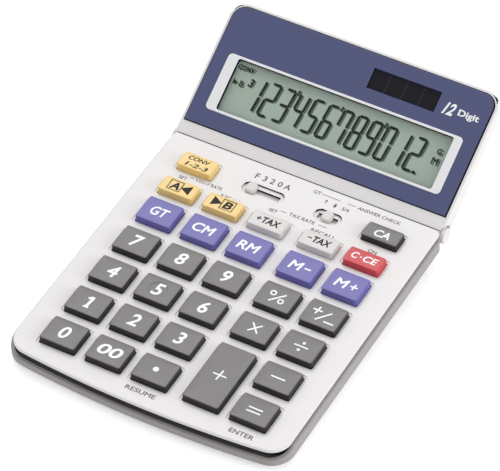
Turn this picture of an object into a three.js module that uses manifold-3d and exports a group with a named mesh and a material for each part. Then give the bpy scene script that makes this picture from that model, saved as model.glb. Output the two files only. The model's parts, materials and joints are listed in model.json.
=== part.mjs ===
// Desktop calculator with a tilting display, thirty-one keys, two slide switches and a battery bay.
// Millimetres, +Z up. The keyboard faces up and forward, towards -Y, and the display stands behind it.

import * as THREE from "three";
import { mergeVertices } from "three/addons/utils/BufferGeometryUtils.js";
import Module from "manifold-3d";

const wasm = await Module();
wasm.setup();

// Stance
const KEYBOARD_TILT_DEG = 3;
const DISPLAY_TILT_DEG = 29.2;
const FOOT_STAND = 1;

// Fits
const CLEARANCE = 0.3;
const KEY_CLEARANCE = 0.35;
const OVERRUN = 1;

// Key field
const COLUMN_SPACING = 19.5;
const COLUMN_WEB = 3.5;
const OPERATOR_GAP = 2.31;
const ROW_SPACING = 17.47;
const ROW_WEB = 4.17;
const SMALL_ROW_SPACING = 14.64;
const SMALL_ROW_WEB = 5.74;

// Keycaps
const KEY_RISE = 2.5;
const KEY_DRAFT = 0.3;
const KEY_CORNER_RADIUS = 1.6;
const KEY_BEVEL = 0.3;
const KEY_DISH = 0.3;
const KEY_WALL = 1.2;
const KEY_FLANGE = 0.8;
const KEY_FLANGE_THICKNESS = 0.8;
const KEY_TRAVEL = 1.6;
const PLUNGER_RADIUS = 1.8;

// Top cover
const SIDE_MARGIN = 9.85;
const FRONT_MARGIN = 9.2;
const REAR_MARGIN = 8.84;
const FRONT_BOW = 3.5;
const COVER_CORNER_RADIUS = 8;
const REAR_CORNER_RADIUS = 1.5;
const COVER_THICKNESS = 1.6;
const COVER_EDGE_BEVEL = 0.4;
const SKIRT_THICKNESS = 1.2;
const SKIRT_DEPTH = 4;
const FRONT_GROOVE_DEPTH = 1.2;
const SCREW_POST_RADIUS = 2.1;

// Bottom case
const CASE_PROUD = 1.2;
const CASE_WALL = 1.4;
const CASE_FLOOR = 1.3;
const RIM_HEIGHT = 2.6;
const FRONT_LIP_DROP = 1.3;
const BELLY_SIDE_INSET = 7;
const BELLY_FRONT_INSET = 3.3;
const BELLY_CORNER_RADIUS = 6;
const PAD_RADIUS = 2;

// Membrane and boards
const MEMBRANE_THICKNESS = 0.8;
const DOME_RADIUS = 3.4;
const DOME_TOP_RADIUS = 2.2;
const BOARD_THICKNESS = 1.2;
const BOARD_SIDE_MARGIN = 5;
const BOARD_FRONT_MARGIN = 4;
const BOARD_REAR_MARGIN = 3;
const BOARD_FLOOR_GAP = 0.7;

// Slide switches
const SWITCH_WELL_DEPTH = 6.2;
const SWITCH_WELL_FLOOR = 0.8;
const DECIMAL_WELL_WIDTH = 17.8;
const DECIMAL_WELL_CENTRE = -11.6;
const DECIMAL_TRAVEL = 10;
const ROUNDING_WELL_WIDTH = 11.6;
const ROUNDING_WELL_CENTRE = 16.4;
const ROUNDING_TRAVEL = 4;
const KNOB_WIDTH = 4.4;
const KNOB_DEPTH = 5.4;
const KNOB_RISE = 1.1;
const SWITCH_SLOT_DEPTH = 2.6;
const SWITCH_SLOT_CORNER = 0.3;

// Hinge
const HINGE_RADIUS = 3.9;
const HINGE_SETBACK = 2.2;
const HINGE_CASE_GAP = 0.5;
const LUG_RADIUS = 2.8;
const LUG_WIDTH = 7.7;
const LUG_NECK_TOP = 0.7;
const HINGE_SKIN = 0.8;
const EAR_WIDTH = 2.9;
const HINGE_PIN_RADIUS = 1.5;
const HINGE_CAP_RADIUS = 3.6;
const HINGE_CAP_THICKNESS = 1.9;
const HINGE_LIFT_DEG = 21;

// Display housing
const DISPLAY_EDGE = 0.6;
const DISPLAY_TOP_THICKNESS = 5;
const DISPLAY_CORNER_RADIUS = 7;
const DISPLAY_BEVEL = 0.5;
const DISPLAY_WALL = 1.3;
const PANEL_RIM = 1.3;
const PANEL_GROOVE = 0.4;
const PANEL_PROUD = 0.5;
const PANEL_THICKNESS = 1.6;
const PANEL_LEDGE = 2;
const STRIP_LENGTH = 6.1;

// Display window, glass and solar cell
const WINDOW_SIDE_MARGIN = 6.2;
const WINDOW_FOOT_MARGIN = 6.7;
const WINDOW_LENGTH = 24.2;
const WINDOW_CORNER_RADIUS = 1.8;
const BEZEL_SIDE = 4;
const BEZEL_END = 1.4;
const BEZEL_PROUD = 0.3;
const LENS_THICKNESS = 0.8;
const LENS_SINK = 1.1;
const GLASS_THICKNESS = 1.6;
const GLASS_BORDER = 2.2;
const GLASS_CORNER = 0.3;
const SOLAR_WIDTH = 29.3;
const SOLAR_LENGTH = 8.4;
const SOLAR_CENTRE = 20.7;
const SOLAR_TOP_MARGIN = 5.5;
const SOLAR_WINDOW_GAP = 5.6;
const SOLAR_POCKET = 0.8;
const SOLAR_THICKNESS = 0.9;
const DISPLAY_BOARD_THICKNESS = 1;

// Battery bay
const CELL_RADIUS = 5.8;
const CELL_HEIGHT = 3.1;
const CELL_X = 18;
const CELL_Y = 26;
const DOOR_SCREW_WEB = 1.3;
const DOOR_WIDTH = 17;
const DOOR_THICKNESS = 1;
const DOOR_LEDGE = 1.5;
const BAY_WALL = 2;
const BAY_HEIGHT = 4.6;
const CONTACT_THICKNESS = 0.4;
const CONTACT_WIDTH = 3;
const CONTACT_REACH = 4;

// Screws and feet
const SCREW_HEAD_RADIUS = 2.2;
const SCREW_HEAD_HEIGHT = 1.3;
const SCREW_HEAD_BEVEL = 0.3;
const SCREW_SHANK_RADIUS = 1;
const SCREW_LENGTH = 6.2;
const SCREW_WEB = 0.8;
const SCREW_RECESS_DEPTH = 0.6;
const SCREW_RECESS_WIDTH = 0.6;
const SCREW_RECESS_REACH = 1.3;
const BOSS_WALL = 1;
const FOOT_RADIUS = 5;
const FOOT_THICKNESS = 1.3;
const FOOT_BEVEL = 0.3;
const FOOT_RECESS = 0.6;
const FOOT_SIDE_MARGIN = 14;
const FOOT_FRONT_MARGIN = 12;
const FOOT_REAR_MARGIN = 13;

// Numbers of steps on round outlines
const BOW_STEPS = 8;
const CORNER_STEPS = 4;
const KEY_CORNER_STEPS = 2;
const ROUND_STEPS = 20;
const SMALL_ROUND_STEPS = 12;
const COARSE_STEPS = 8;

const rad = THREE.MathUtils.degToRad;
const tilt = rad(KEYBOARD_TILT_DEG);
const displayTilt = rad(DISPLAY_TILT_DEG);

// Columns and rows, from the centre of the row that holds 7, 8 and 9
const holeWidth = COLUMN_SPACING - COLUMN_WEB;
const holeDepth = ROW_SPACING - ROW_WEB;
const smallHoleDepth = SMALL_ROW_SPACING - SMALL_ROW_WEB;
const fieldWidth = 4 * COLUMN_SPACING + OPERATOR_GAP;
const columnX = [0, 1, 2, 3, 4].map(
  (i) => i * COLUMN_SPACING + (i > 2 ? OPERATOR_GAP : 0) - fieldWidth / 2,
);
const rowY = {
  top: ROW_SPACING + 2 * SMALL_ROW_SPACING,
  rate: ROW_SPACING + SMALL_ROW_SPACING,
  memory: ROW_SPACING,
  seven: 0,
  four: -ROW_SPACING,
  one: -2 * ROW_SPACING,
  zero: -3 * ROW_SPACING,
};

// Outline of the cover and the case, seen from above
const coverHalf = fieldWidth / 2 + holeWidth / 2 + SIDE_MARGIN;
const coverFront = rowY.zero - holeDepth / 2 - FRONT_MARGIN;
const coverRear = rowY.top + smallHoleDepth / 2 + REAR_MARGIN;
const bowRadius = (coverHalf ** 2 + FRONT_BOW ** 2) / (2 * FRONT_BOW);
const hingeY = coverRear + HINGE_SETBACK;
const hingeZ = -HINGE_RADIUS;
const caseHalf = coverHalf + CASE_PROUD;
const caseFront = coverFront - CASE_PROUD;
const caseRear = hingeY - HINGE_RADIUS - HINGE_CASE_GAP;

// Heights below the cover's face, in the keyboard's own tilted frame
const coverUnder = -COVER_THICKNESS;
const rimTop = coverUnder - CLEARANCE;
const rimFoot = rimTop - RIM_HEIGHT;
const flangeTop = coverUnder - CLEARANCE;
const flangeFoot = flangeTop - KEY_FLANGE_THICKNESS;
const membraneTop = flangeFoot - KEY_TRAVEL - CLEARANCE;
const membraneFoot = membraneTop - MEMBRANE_THICKNESS;
const boardTop = membraneFoot - CLEARANCE;
const boardFoot = boardTop - BOARD_THICKNESS;
const postFoot = boardFoot - CLEARANCE;
const bossTop = postFoot - CLEARANCE;
const screwHeadTop = bossTop - SCREW_WEB - CLEARANCE;

// The keyboard's tilted frame, high enough for the board's front edge to clear the case's floor
const bellyZ = FOOT_STAND;
const floorZ = bellyZ + CASE_FLOOR;
const boardFront = coverFront + BOARD_FRONT_MARGIN + FRONT_BOW;
const boardFrontDrop = boardFront * Math.sin(tilt) + boardFoot * Math.cos(tilt);
const deckHeight = floorZ + BOARD_FLOOR_GAP - boardFrontDrop;
const deckMatrix = new THREE.Matrix4()
  .makeRotationX(tilt)
  .setPosition(0, 0, deckHeight);
const deckToTable = (x, y, z) => new THREE.Vector3(x, y, z).applyMatrix4(deckMatrix);

// Solids

function solidOf(geometry, matrix) {
  const bare = new THREE.BufferGeometry();
  bare.setAttribute("position", geometry.getAttribute("position").clone());
  if (geometry.index) bare.setIndex(geometry.index.clone());
  if (matrix) bare.applyMatrix4(matrix);
  const merged = mergeVertices(bare);
  return new wasm.Manifold(
    new wasm.Mesh({
      numProp: 3,
      vertProperties: new Float32Array(merged.attributes.position.array),
      triVerts: new Uint32Array(merged.index.array),
    }),
  );
}

function geometryOf(solid) {
  const mesh = solid.getMesh();
  const geometry = new THREE.BufferGeometry();
  const points = new Float32Array(mesh.vertProperties);
  geometry.setAttribute("position", new THREE.BufferAttribute(points, 3));
  geometry.setIndex(new THREE.BufferAttribute(new Uint32Array(mesh.triVerts), 1));
  return geometry;
}

const at = (x, y, z) => new THREE.Matrix4().makeTranslation(x, y, z);
const union = (solids) => solids.reduce((all, one) => all.add(one));
const cut = (solid, tools) => tools.reduce((left, tool) => left.subtract(tool), solid);

// A block between two corners
function block(low, high, matrix) {
  const size = high.map((value, i) => value - low[i]);
  const middle = high.map((value, i) => (value + low[i]) / 2);
  const geometry = new THREE.BoxGeometry(...size).translate(...middle);
  return solidOf(geometry, matrix);
}

// A round bar along Z, between two heights
function bar(x, y, low, high, radius, steps = SMALL_ROUND_STEPS, footRadius = radius) {
  const geometry = new THREE.CylinderGeometry(radius, footRadius, high - low, steps)
    .rotateX(Math.PI / 2)
    .translate(x, y, (low + high) / 2);
  return solidOf(geometry);
}

// A round bar along X, between two places
function crossBar(left, right, y, z, radius, steps = ROUND_STEPS) {
  const geometry = new THREE.CylinderGeometry(radius, radius, right - left, steps)
    .rotateZ(-Math.PI / 2)
    .translate((left + right) / 2, y, z);
  return solidOf(geometry);
}

// A flat plate of an outline, between two heights
function plate(outline, low, high) {
  const shape = new THREE.Shape(outline);
  const options = { depth: high - low, bevelEnabled: false };
  return solidOf(new THREE.ExtrudeGeometry(shape, options).translate(0, 0, low));
}

// A closed skin through rings of equal counts, listed upwards, with an optional middle point on the top ring
function loft(rings, middle) {
  const count = rings[0].length;
  const points = rings.flat().flatMap((p) => [p.x, p.y, p.z]);
  const faces = [];
  rings.slice(1).forEach((ring, level) => {
    ring.forEach((point, i) => {
      const a = level * count + i;
      const b = level * count + ((i + 1) % count);
      faces.push(a, b, b + count, a, b + count, a + count);
    });
  });
  const flat = (ring) => ring.map((p) => new THREE.Vector2(p.x, p.y));
  const top = (rings.length - 1) * count;
  THREE.ShapeUtils.triangulateShape(flat(rings[0]), []).forEach((t) => {
    faces.push(t[2], t[1], t[0]);
  });
  if (middle) {
    points.push(middle.x, middle.y, middle.z);
    rings[0].forEach((point, i) => {
      faces.push(top + i, top + ((i + 1) % count), rings.length * count);
    });
  } else {
    THREE.ShapeUtils.triangulateShape(flat(rings.at(-1)), []).forEach((t) => {
      faces.push(top + t[0], top + t[1], top + t[2]);
    });
  }
  const geometry = new THREE.BufferGeometry();
  geometry.setAttribute("position", new THREE.Float32BufferAttribute(points, 3));
  geometry.setIndex(faces);
  return solidOf(geometry);
}

// Outlines, counter-clockwise from above

function arc(x, y, radius, from, to, steps) {
  return Array.from({ length: steps + 1 }, (unused, i) => {
    const angle = from + ((to - from) * i) / steps;
    return new THREE.Vector2(x + radius * Math.cos(angle), y + radius * Math.sin(angle));
  });
}

function roundedRect(x, y, width, depth, radius, steps = CORNER_STEPS) {
  const cornerX = width / 2 - radius;
  const cornerY = depth / 2 - radius;
  const quarter = Math.PI / 2;
  const signs = [
    [1, 1],
    [-1, 1],
    [-1, -1],
    [1, -1],
  ];
  return signs.flatMap(([sx, sy], i) =>
    arc(x + sx * cornerX, y + sy * cornerY, radius, i * quarter, (i + 1) * quarter, steps),
  );
}

// The bowed outline that cover, skirt, rim and belly share
function bodyOutline(half, front, rear, cornerRadius) {
  const bow = bowRadius + half - coverHalf;
  const bowCentre = front + bow;
  const cornerX = half - cornerRadius;
  const cornerY = bowCentre - Math.sqrt((bow - cornerRadius) ** 2 - cornerX ** 2);
  const edgeAngle = Math.atan2(cornerY - bowCentre, cornerX);
  const rearX = half - REAR_CORNER_RADIUS;
  const rearY = rear - REAR_CORNER_RADIUS;
  const right = -Math.PI - edgeAngle;
  const bowRow = arc(0, bowCentre, bow, right, edgeAngle, BOW_STEPS).slice(1, -1);
  return [
    ...arc(rearX, rearY, REAR_CORNER_RADIUS, 0, Math.PI / 2, 2),
    ...arc(-rearX, rearY, REAR_CORNER_RADIUS, Math.PI / 2, Math.PI, 2),
    ...arc(-cornerX, cornerY, cornerRadius, -Math.PI, right, CORNER_STEPS),
    ...bowRow,
    ...arc(cornerX, cornerY, cornerRadius, edgeAngle, 0, CORNER_STEPS),
  ];
}

const raise = (outline, z) => outline.map((p) => new THREE.Vector3(p.x, p.y, z));
const inset = (d, rearInset = d) =>
  bodyOutline(coverHalf - d, coverFront + d, coverRear - rearInset, COVER_CORNER_RADIUS - d);

// Nodes

const machine = new THREE.Group();
const deck = new THREE.Group();
const display = new THREE.Group();
deck.position.z = deckHeight;
deck.rotation.x = tilt;
display.position.set(0, hingeY, hingeZ);
display.rotation.x = displayTilt;
machine.add(deck);
deck.add(display);

const FINISHES = {
  silver_plastic: { color: 0xdedbda, roughness: 0.42, metalness: 0.25 },
  case_plastic: { color: 0xa9a8a2, roughness: 0.55, metalness: 0.1 },
  grey_key: { color: 0x6f6b6a, roughness: 0.5, metalness: 0 },
  violet_key: { color: 0x7f7cc0, roughness: 0.5, metalness: 0 },
  yellow_key: { color: 0xf1cf73, roughness: 0.5, metalness: 0 },
  pale_key: { color: 0xd8d4d2, roughness: 0.5, metalness: 0 },
  red_key: { color: 0xcf3f4d, roughness: 0.5, metalness: 0 },
  blue_panel: { color: 0x3f4878, roughness: 0.35, metalness: 0.1 },
  white_bezel: { color: 0xe8e8ea, roughness: 0.4, metalness: 0 },
  clear_lens: { color: 0xdfe8e0, roughness: 0.05, metalness: 0 },
  liquid_crystal: { color: 0x93a291, roughness: 0.3, metalness: 0 },
  solar_glass: { color: 0x17161c, roughness: 0.15, metalness: 0 },
  rubber: { color: 0x2c2c2e, roughness: 0.85, metalness: 0 },
  membrane_rubber: { color: 0x8f9aa0, roughness: 0.8, metalness: 0 },
  circuit_board: { color: 0x2f6b3f, roughness: 0.6, metalness: 0 },
  steel: { color: 0x9a9c9f, roughness: 0.35, metalness: 0.9 },
  cell_steel: { color: 0xc4c6c8, roughness: 0.25, metalness: 1 },
};

function add(group, name, finish, solid) {
  const material = new THREE.MeshStandardMaterial(FINISHES[finish]);
  const mesh = new THREE.Mesh(geometryOf(solid), material);
  mesh.name = name;
  group.add(mesh);
  return mesh;
}

// Keycaps: a drafted cap with a dished top, a stop flange under the cover and a hollow with a plunger

const KEYS = [
  { name: "key_convert", column: 0, row: "top", finish: "yellow_key", small: true },
  { name: "key_clear_all", column: 4, row: "top", finish: "grey_key", small: true },
  { name: "key_rate_a", column: 0, row: "rate", finish: "yellow_key", small: true },
  { name: "key_rate_b", column: 1, row: "rate", finish: "yellow_key", small: true },
  { name: "key_tax_plus", column: 2, row: "rate", finish: "pale_key", small: true },
  { name: "key_tax_minus", column: 3, row: "rate", finish: "pale_key", small: true },
  { name: "key_clear", column: 4, row: "rate", finish: "red_key", small: true },
  { name: "key_grand_total", column: 0, row: "memory", finish: "violet_key" },
  { name: "key_memory_clear", column: 1, row: "memory", finish: "violet_key" },
  { name: "key_memory_recall", column: 2, row: "memory", finish: "violet_key" },
  { name: "key_memory_minus", column: 3, row: "memory", finish: "violet_key" },
  { name: "key_memory_plus", column: 4, row: "memory", finish: "violet_key" },
  { name: "key_7", column: 0, row: "seven", finish: "grey_key" },
  { name: "key_8", column: 1, row: "seven", finish: "grey_key" },
  { name: "key_9", column: 2, row: "seven", finish: "grey_key" },
  { name: "key_percent", column: 3, row: "seven", finish: "grey_key" },
  { name: "key_sign", column: 4, row: "seven", finish: "grey_key" },
  { name: "key_4", column: 0, row: "four", finish: "grey_key" },
  { name: "key_5", column: 1, row: "four", finish: "grey_key" },
  { name: "key_6", column: 2, row: "four", finish: "grey_key" },
  { name: "key_multiply", column: 3, row: "four", finish: "grey_key" },
  { name: "key_divide", column: 4, row: "four", finish: "grey_key" },
  { name: "key_1", column: 0, row: "one", finish: "grey_key" },
  { name: "key_2", column: 1, row: "one", finish: "grey_key" },
  { name: "key_3", column: 2, row: "one", finish: "grey_key" },
  { name: "key_minus", column: 4, row: "one", finish: "grey_key" },
  { name: "key_plus", column: 3, row: "one", finish: "grey_key", tall: true },
  { name: "key_0", column: 0, row: "zero", finish: "grey_key" },
  { name: "key_double_zero", column: 1, row: "zero", finish: "grey_key" },
  { name: "key_point", column: 2, row: "zero", finish: "grey_key" },
  { name: "key_equals", column: 4, row: "zero", finish: "grey_key" },
].map((key) => ({
  ...key,
  x: columnX[key.column],
  y: rowY[key.row] - (key.tall ? ROW_SPACING / 2 : 0),
  depth: (key.small ? smallHoleDepth : holeDepth) + (key.tall ? ROW_SPACING : 0),
}));

function keycap(key) {
  const width = holeWidth - 2 * KEY_CLEARANCE;
  const depth = key.depth - 2 * KEY_CLEARANCE;
  const ring = (grow, z, radius) =>
    raise(roundedRect(0, 0, width + 2 * grow, depth + 2 * grow, radius, KEY_CORNER_STEPS), z);
  const cap = loft(
    [
      ring(KEY_FLANGE, flangeFoot, KEY_CORNER_RADIUS),
      ring(KEY_FLANGE, flangeTop, KEY_CORNER_RADIUS),
      ring(0, flangeTop, KEY_CORNER_RADIUS),
      ring(0, 0, KEY_CORNER_RADIUS),
      ring(-KEY_DRAFT, KEY_RISE - KEY_BEVEL, KEY_CORNER_RADIUS - KEY_DRAFT),
      ring(-KEY_DRAFT - KEY_BEVEL, KEY_RISE, KEY_CORNER_RADIUS - KEY_DRAFT - KEY_BEVEL),
    ],
    new THREE.Vector3(0, 0, KEY_RISE - KEY_DISH),
  );
  const hollowWidth = width / 2 - KEY_DRAFT - KEY_WALL;
  const hollowDepth = depth / 2 - KEY_DRAFT - KEY_WALL;
  const hollowTop = KEY_RISE - KEY_DISH - KEY_WALL;
  const hollow = block(
    [-hollowWidth, -hollowDepth, flangeFoot - OVERRUN],
    [hollowWidth, hollowDepth, hollowTop],
  );
  const plunger = bar(0, 0, flangeFoot, hollowTop + KEY_WALL / 2, PLUNGER_RADIUS, COARSE_STEPS);
  return cap.subtract(hollow).add(plunger);
}

function keyHole(key) {
  const outline = roundedRect(key.x, key.y, holeWidth, key.depth, KEY_CORNER_RADIUS, KEY_CORNER_STEPS);
  return plate(outline, coverUnder - OVERRUN, OVERRUN);
}

KEYS.forEach((key) => {
  add(deck, key.name, key.finish, keycap(key)).position.set(key.x, key.y, 0);
});

// Slide switches: a well in the cover, a slot in its floor and a knob with a foot on the board

const SWITCHES = [
  {
    name: "decimal_switch_knob",
    centre: DECIMAL_WELL_CENTRE,
    width: DECIMAL_WELL_WIDTH,
    travel: DECIMAL_TRAVEL,
    rest: DECIMAL_WELL_CENTRE - DECIMAL_TRAVEL / 2,
  },
  {
    name: "rounding_switch_knob",
    centre: ROUNDING_WELL_CENTRE,
    width: ROUNDING_WELL_WIDTH,
    travel: ROUNDING_TRAVEL,
    rest: ROUNDING_WELL_CENTRE,
  },
];

const stemHalf = KNOB_WIDTH / 2 - CLEARANCE;
const slotLength = (item) => item.travel + 2 * (stemHalf + CLEARANCE);

function switchCuts(item) {
  const well = roundedRect(
    item.centre,
    rowY.top,
    item.width,
    SWITCH_WELL_DEPTH,
    SWITCH_WELL_DEPTH / 2,
  );
  const slot = roundedRect(item.centre, rowY.top, slotLength(item), SWITCH_SLOT_DEPTH, SWITCH_SLOT_CORNER, 1);
  return [plate(well, -SWITCH_WELL_FLOOR, OVERRUN), plate(slot, coverUnder - OVERRUN, OVERRUN)];
}

function switchKnob() {
  const stem = SWITCH_SLOT_DEPTH / 2 - CLEARANCE;
  const knobFoot = CLEARANCE - SWITCH_WELL_FLOOR;
  const knob = loft([
    raise(roundedRect(0, 0, KNOB_WIDTH, KNOB_DEPTH, KEY_BEVEL, 1), knobFoot),
    raise(roundedRect(0, 0, KNOB_WIDTH, KNOB_DEPTH, KEY_BEVEL, 1), KNOB_RISE - KEY_BEVEL),
    raise(
      roundedRect(0, 0, KNOB_WIDTH - 2 * KEY_BEVEL, KNOB_DEPTH - 2 * KEY_BEVEL, KEY_BEVEL, 1),
      KNOB_RISE,
    ),
  ]);
  const neck = block([-stemHalf, -stem, boardTop + CLEARANCE], [stemHalf, stem, KNOB_RISE / 2]);
  const foot = block(
    [-KNOB_WIDTH / 2, -KNOB_DEPTH / 2, boardTop + CLEARANCE],
    [KNOB_WIDTH / 2, KNOB_DEPTH / 2, coverUnder - CLEARANCE],
  );
  return union([knob, neck, foot]);
}

SWITCHES.forEach((item) => {
  add(deck, item.name, "pale_key", switchKnob()).position.set(item.rest, rowY.top, 0);
});

// Screws stand where four keys meet, and between the small keys and the switches
const screwX = (columnX[0] + columnX[1]) / 2;
const frontScrewY = (rowY.four + rowY.one) / 2;
const rearScrewX = columnX[1] - holeWidth / 2 + SCREW_POST_RADIUS;
const rearScrewY = rowY.top + smallHoleDepth / 2;
const SCREW_PLACES = [
  { name: "case_screw_front_left", x: screwX, y: frontScrewY },
  { name: "case_screw_front_right", x: -screwX, y: frontScrewY },
  { name: "case_screw_rear_left", x: rearScrewX, y: rearScrewY },
  { name: "case_screw_rear_right", x: -rearScrewX, y: rearScrewY },
];

// Top cover: a thin plate with holes, an inner skirt and four screw posts

const skirtFrontInset = CLEARANCE + CASE_WALL - CASE_PROUD + FRONT_GROOVE_DEPTH;
const skirtSideInset = CLEARANCE + CASE_WALL - CASE_PROUD;
const skirtRear = caseRear - CASE_WALL - CLEARANCE;
const skirtOutline = (d) =>
  bodyOutline(
    coverHalf - skirtSideInset - d,
    coverFront + skirtFrontInset + d,
    skirtRear - d,
    COVER_CORNER_RADIUS - skirtSideInset - d,
  );

const coverPlate = loft([
  raise(inset(0), coverUnder),
  raise(inset(0), -COVER_EDGE_BEVEL),
  raise(inset(COVER_EDGE_BEVEL, 0), 0),
]);
const skirt = plate(skirtOutline(0), -SKIRT_DEPTH, coverUnder / 2).subtract(
  plate(skirtOutline(SKIRT_THICKNESS), -SKIRT_DEPTH - OVERRUN, OVERRUN),
);
const posts = SCREW_PLACES.map((place) =>
  bar(place.x, place.y, postFoot, coverUnder / 2, SCREW_POST_RADIUS),
);
const postBores = SCREW_PLACES.map((place) =>
  bar(
    place.x,
    place.y,
    postFoot - OVERRUN,
    screwHeadTop + SCREW_LENGTH + CLEARANCE,
    SCREW_SHANK_RADIUS + CLEARANCE,
    COARSE_STEPS,
  ),
);
const hingeSweep = (radius, half) => crossBar(-half, half, hingeY, hingeZ, radius, 2 * ROUND_STEPS);

add(
  deck,
  "top_cover",
  "silver_plastic",
  cut(union([coverPlate, skirt, ...posts]), [
    ...KEYS.map(keyHole),
    ...SWITCHES.flatMap(switchCuts),
    ...postBores,
    hingeSweep(HINGE_RADIUS + CLEARANCE, coverHalf + OVERRUN),
  ]),
);

// Membrane and main board, with clear holes for the posts and a notch for the switches

const boardHalf = coverHalf - skirtSideInset - BOARD_SIDE_MARGIN;
const boardRear = skirtRear - SKIRT_THICKNESS - BOARD_REAR_MARGIN;
const boardOutline = roundedRect(
  0,
  (boardFront + boardRear) / 2,
  2 * boardHalf,
  boardRear - boardFront,
  SCREW_POST_RADIUS,
  1,
);
const postHoles = SCREW_PLACES.map((place) =>
  bar(
    place.x,
    place.y,
    postFoot - OVERRUN,
    flangeFoot,
    SCREW_POST_RADIUS + CLEARANCE,
  ),
);
const switchNotch = block(
  [rearScrewX, rowY.top - KNOB_DEPTH / 2 - CLEARANCE, membraneFoot - OVERRUN],
  [-rearScrewX, boardRear + OVERRUN, membraneTop + OVERRUN],
);
const domes = KEYS.map((key) =>
  bar(
    key.x,
    key.y,
    membraneFoot + MEMBRANE_THICKNESS / 2,
    flangeFoot - CLEARANCE,
    DOME_TOP_RADIUS,
    COARSE_STEPS,
    DOME_RADIUS,
  ),
);

add(
  deck,
  "keypad_membrane",
  "membrane_rubber",
  cut(union([plate(boardOutline, membraneFoot, membraneTop), ...domes]), [
    switchNotch,
    ...postHoles,
  ]),
);
add(
  deck,
  "main_board",
  "circuit_board",
  cut(plate(boardOutline, boardFoot, boardTop), postHoles),
);

// Bottom case: a shallow tub whose rim follows the cover and whose belly lies level over the table

function rimRing(outline, drop) {
  const lipFrom = coverFront + COVER_CORNER_RADIUS + FRONT_BOW;
  return outline.map((p) => {
    const share = THREE.MathUtils.smoothstep(lipFrom - p.y, 0, COVER_CORNER_RADIUS);
    return deckToTable(p.x, p.y, rimTop - drop(share));
  });
}

function caseShell(d, bottom, top) {
  const outer = bodyOutline(caseHalf - d, caseFront + d, caseRear - d, COVER_CORNER_RADIUS + CASE_PROUD - d);
  const belly = bodyOutline(
    caseHalf - BELLY_SIDE_INSET - d,
    caseFront + BELLY_FRONT_INSET + d,
    caseRear - d,
    BELLY_CORNER_RADIUS,
  );
  const foot = rimRing(outer, () => RIM_HEIGHT);
  const low = belly.map((p) => new THREE.Vector3(p.x, p.y, bottom));
  const kneeShare = { in: 0.3, down: 0.55 };
  const knee = foot.map((p, i) => {
    const inward = p.clone().lerp(low[i], kneeShare.in);
    return inward.setZ(THREE.MathUtils.lerp(p.z, low[i].z, kneeShare.down));
  });
  return loft([low, knee, foot, rimRing(outer, (share) => share * FRONT_LIP_DROP - top)]);
}

const lugRight = caseHalf - HINGE_CAP_THICKNESS - EAR_WIDTH - CLEARANCE;
const lugLeft = lugRight - LUG_WIDTH;

function hingeLug(side) {
  const ends = [side * lugLeft, side * lugRight].sort((a, b) => a - b);
  const boss = crossBar(ends[0], ends[1], hingeY, hingeZ, LUG_RADIUS);
  const neck = block(
    [ends[0], caseRear - CASE_WALL / 2, hingeZ - LUG_RADIUS],
    [ends[1], hingeY, hingeZ - LUG_NECK_TOP],
  );
  const bore = crossBar(
    ends[0] - OVERRUN,
    ends[1] + OVERRUN,
    hingeY,
    hingeZ,
    HINGE_PIN_RADIUS + CLEARANCE,
    SMALL_ROUND_STEPS,
  );
  return { body: boss.add(neck), bore };
}

const lugs = [-1, 1].map(hingeLug);
const bossRadius = SCREW_HEAD_RADIUS + CLEARANCE + BOSS_WALL;
const wellTop = screwHeadTop + CLEARANCE;
const caseBosses = SCREW_PLACES.map((place) =>
  bar(place.x, place.y, -2 * deckHeight, bossTop, bossRadius),
);
const screwWells = SCREW_PLACES.flatMap((place) => [
  bar(place.x, place.y, -2 * deckHeight, wellTop, SCREW_HEAD_RADIUS + CLEARANCE),
  bar(place.x, place.y, wellTop - OVERRUN, OVERRUN, SCREW_SHANK_RADIUS + CLEARANCE, COARSE_STEPS),
]);

// Pads under the board's edge, where its corners and its middle rest
const padX = boardHalf - 2 * PAD_RADIUS;
const padPlaces = [-1, 1].flatMap((side) => [
  { x: side * padX, y: boardFront + 2 * PAD_RADIUS },
  { x: side * padX, y: (boardFront + boardRear) / 2 },
  { x: side * padX, y: boardRear - 2 * PAD_RADIUS },
]);
const pads = padPlaces.map((place) =>
  bar(place.x, place.y, -2 * deckHeight, boardFoot - CLEARANCE, PAD_RADIUS, COARSE_STEPS),
);
const inDeck = (solid) => solidOf(geometryOf(solid), deckMatrix);
const belowBelly = block(
  [-2 * caseHalf, 2 * caseFront, -2 * deckHeight],
  [2 * caseHalf, 2 * hingeY, bellyZ],
);

// Battery bay: a thickened floor with a stepped door opening, a round seat and a slot for the side contact
const doorLeft = CELL_X - CELL_RADIUS - DOOR_LEDGE - CLEARANCE - CONTACT_WIDTH;
const doorScrewX = CELL_X + CELL_RADIUS + DOOR_SCREW_WEB + bossRadius;
const doorRight = doorScrewX + bossRadius + CLEARANCE;
const doorOutline = (grow) =>
  roundedRect(
    (doorLeft + doorRight) / 2,
    CELL_Y,
    doorRight - doorLeft + 2 * grow,
    DOOR_WIDTH + 2 * grow,
    BAY_WALL,
  );
const doorTop = bellyZ + DOOR_THICKNESS;
const cellFoot = doorTop + CLEARANCE;
const cellTop = cellFoot + CELL_HEIGHT;
const sideContactX = CELL_X - CELL_RADIUS - CLEARANCE - CONTACT_THICKNESS;
const bayTop = bellyZ + BAY_HEIGHT;
const doorScrewSeat = bellyZ + SCREW_HEAD_HEIGHT;
const doorBossTop = doorScrewSeat + CLEARANCE + SCREW_WEB;
const bayBlock = plate(doorOutline(BAY_WALL), bellyZ, bayTop);
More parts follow.
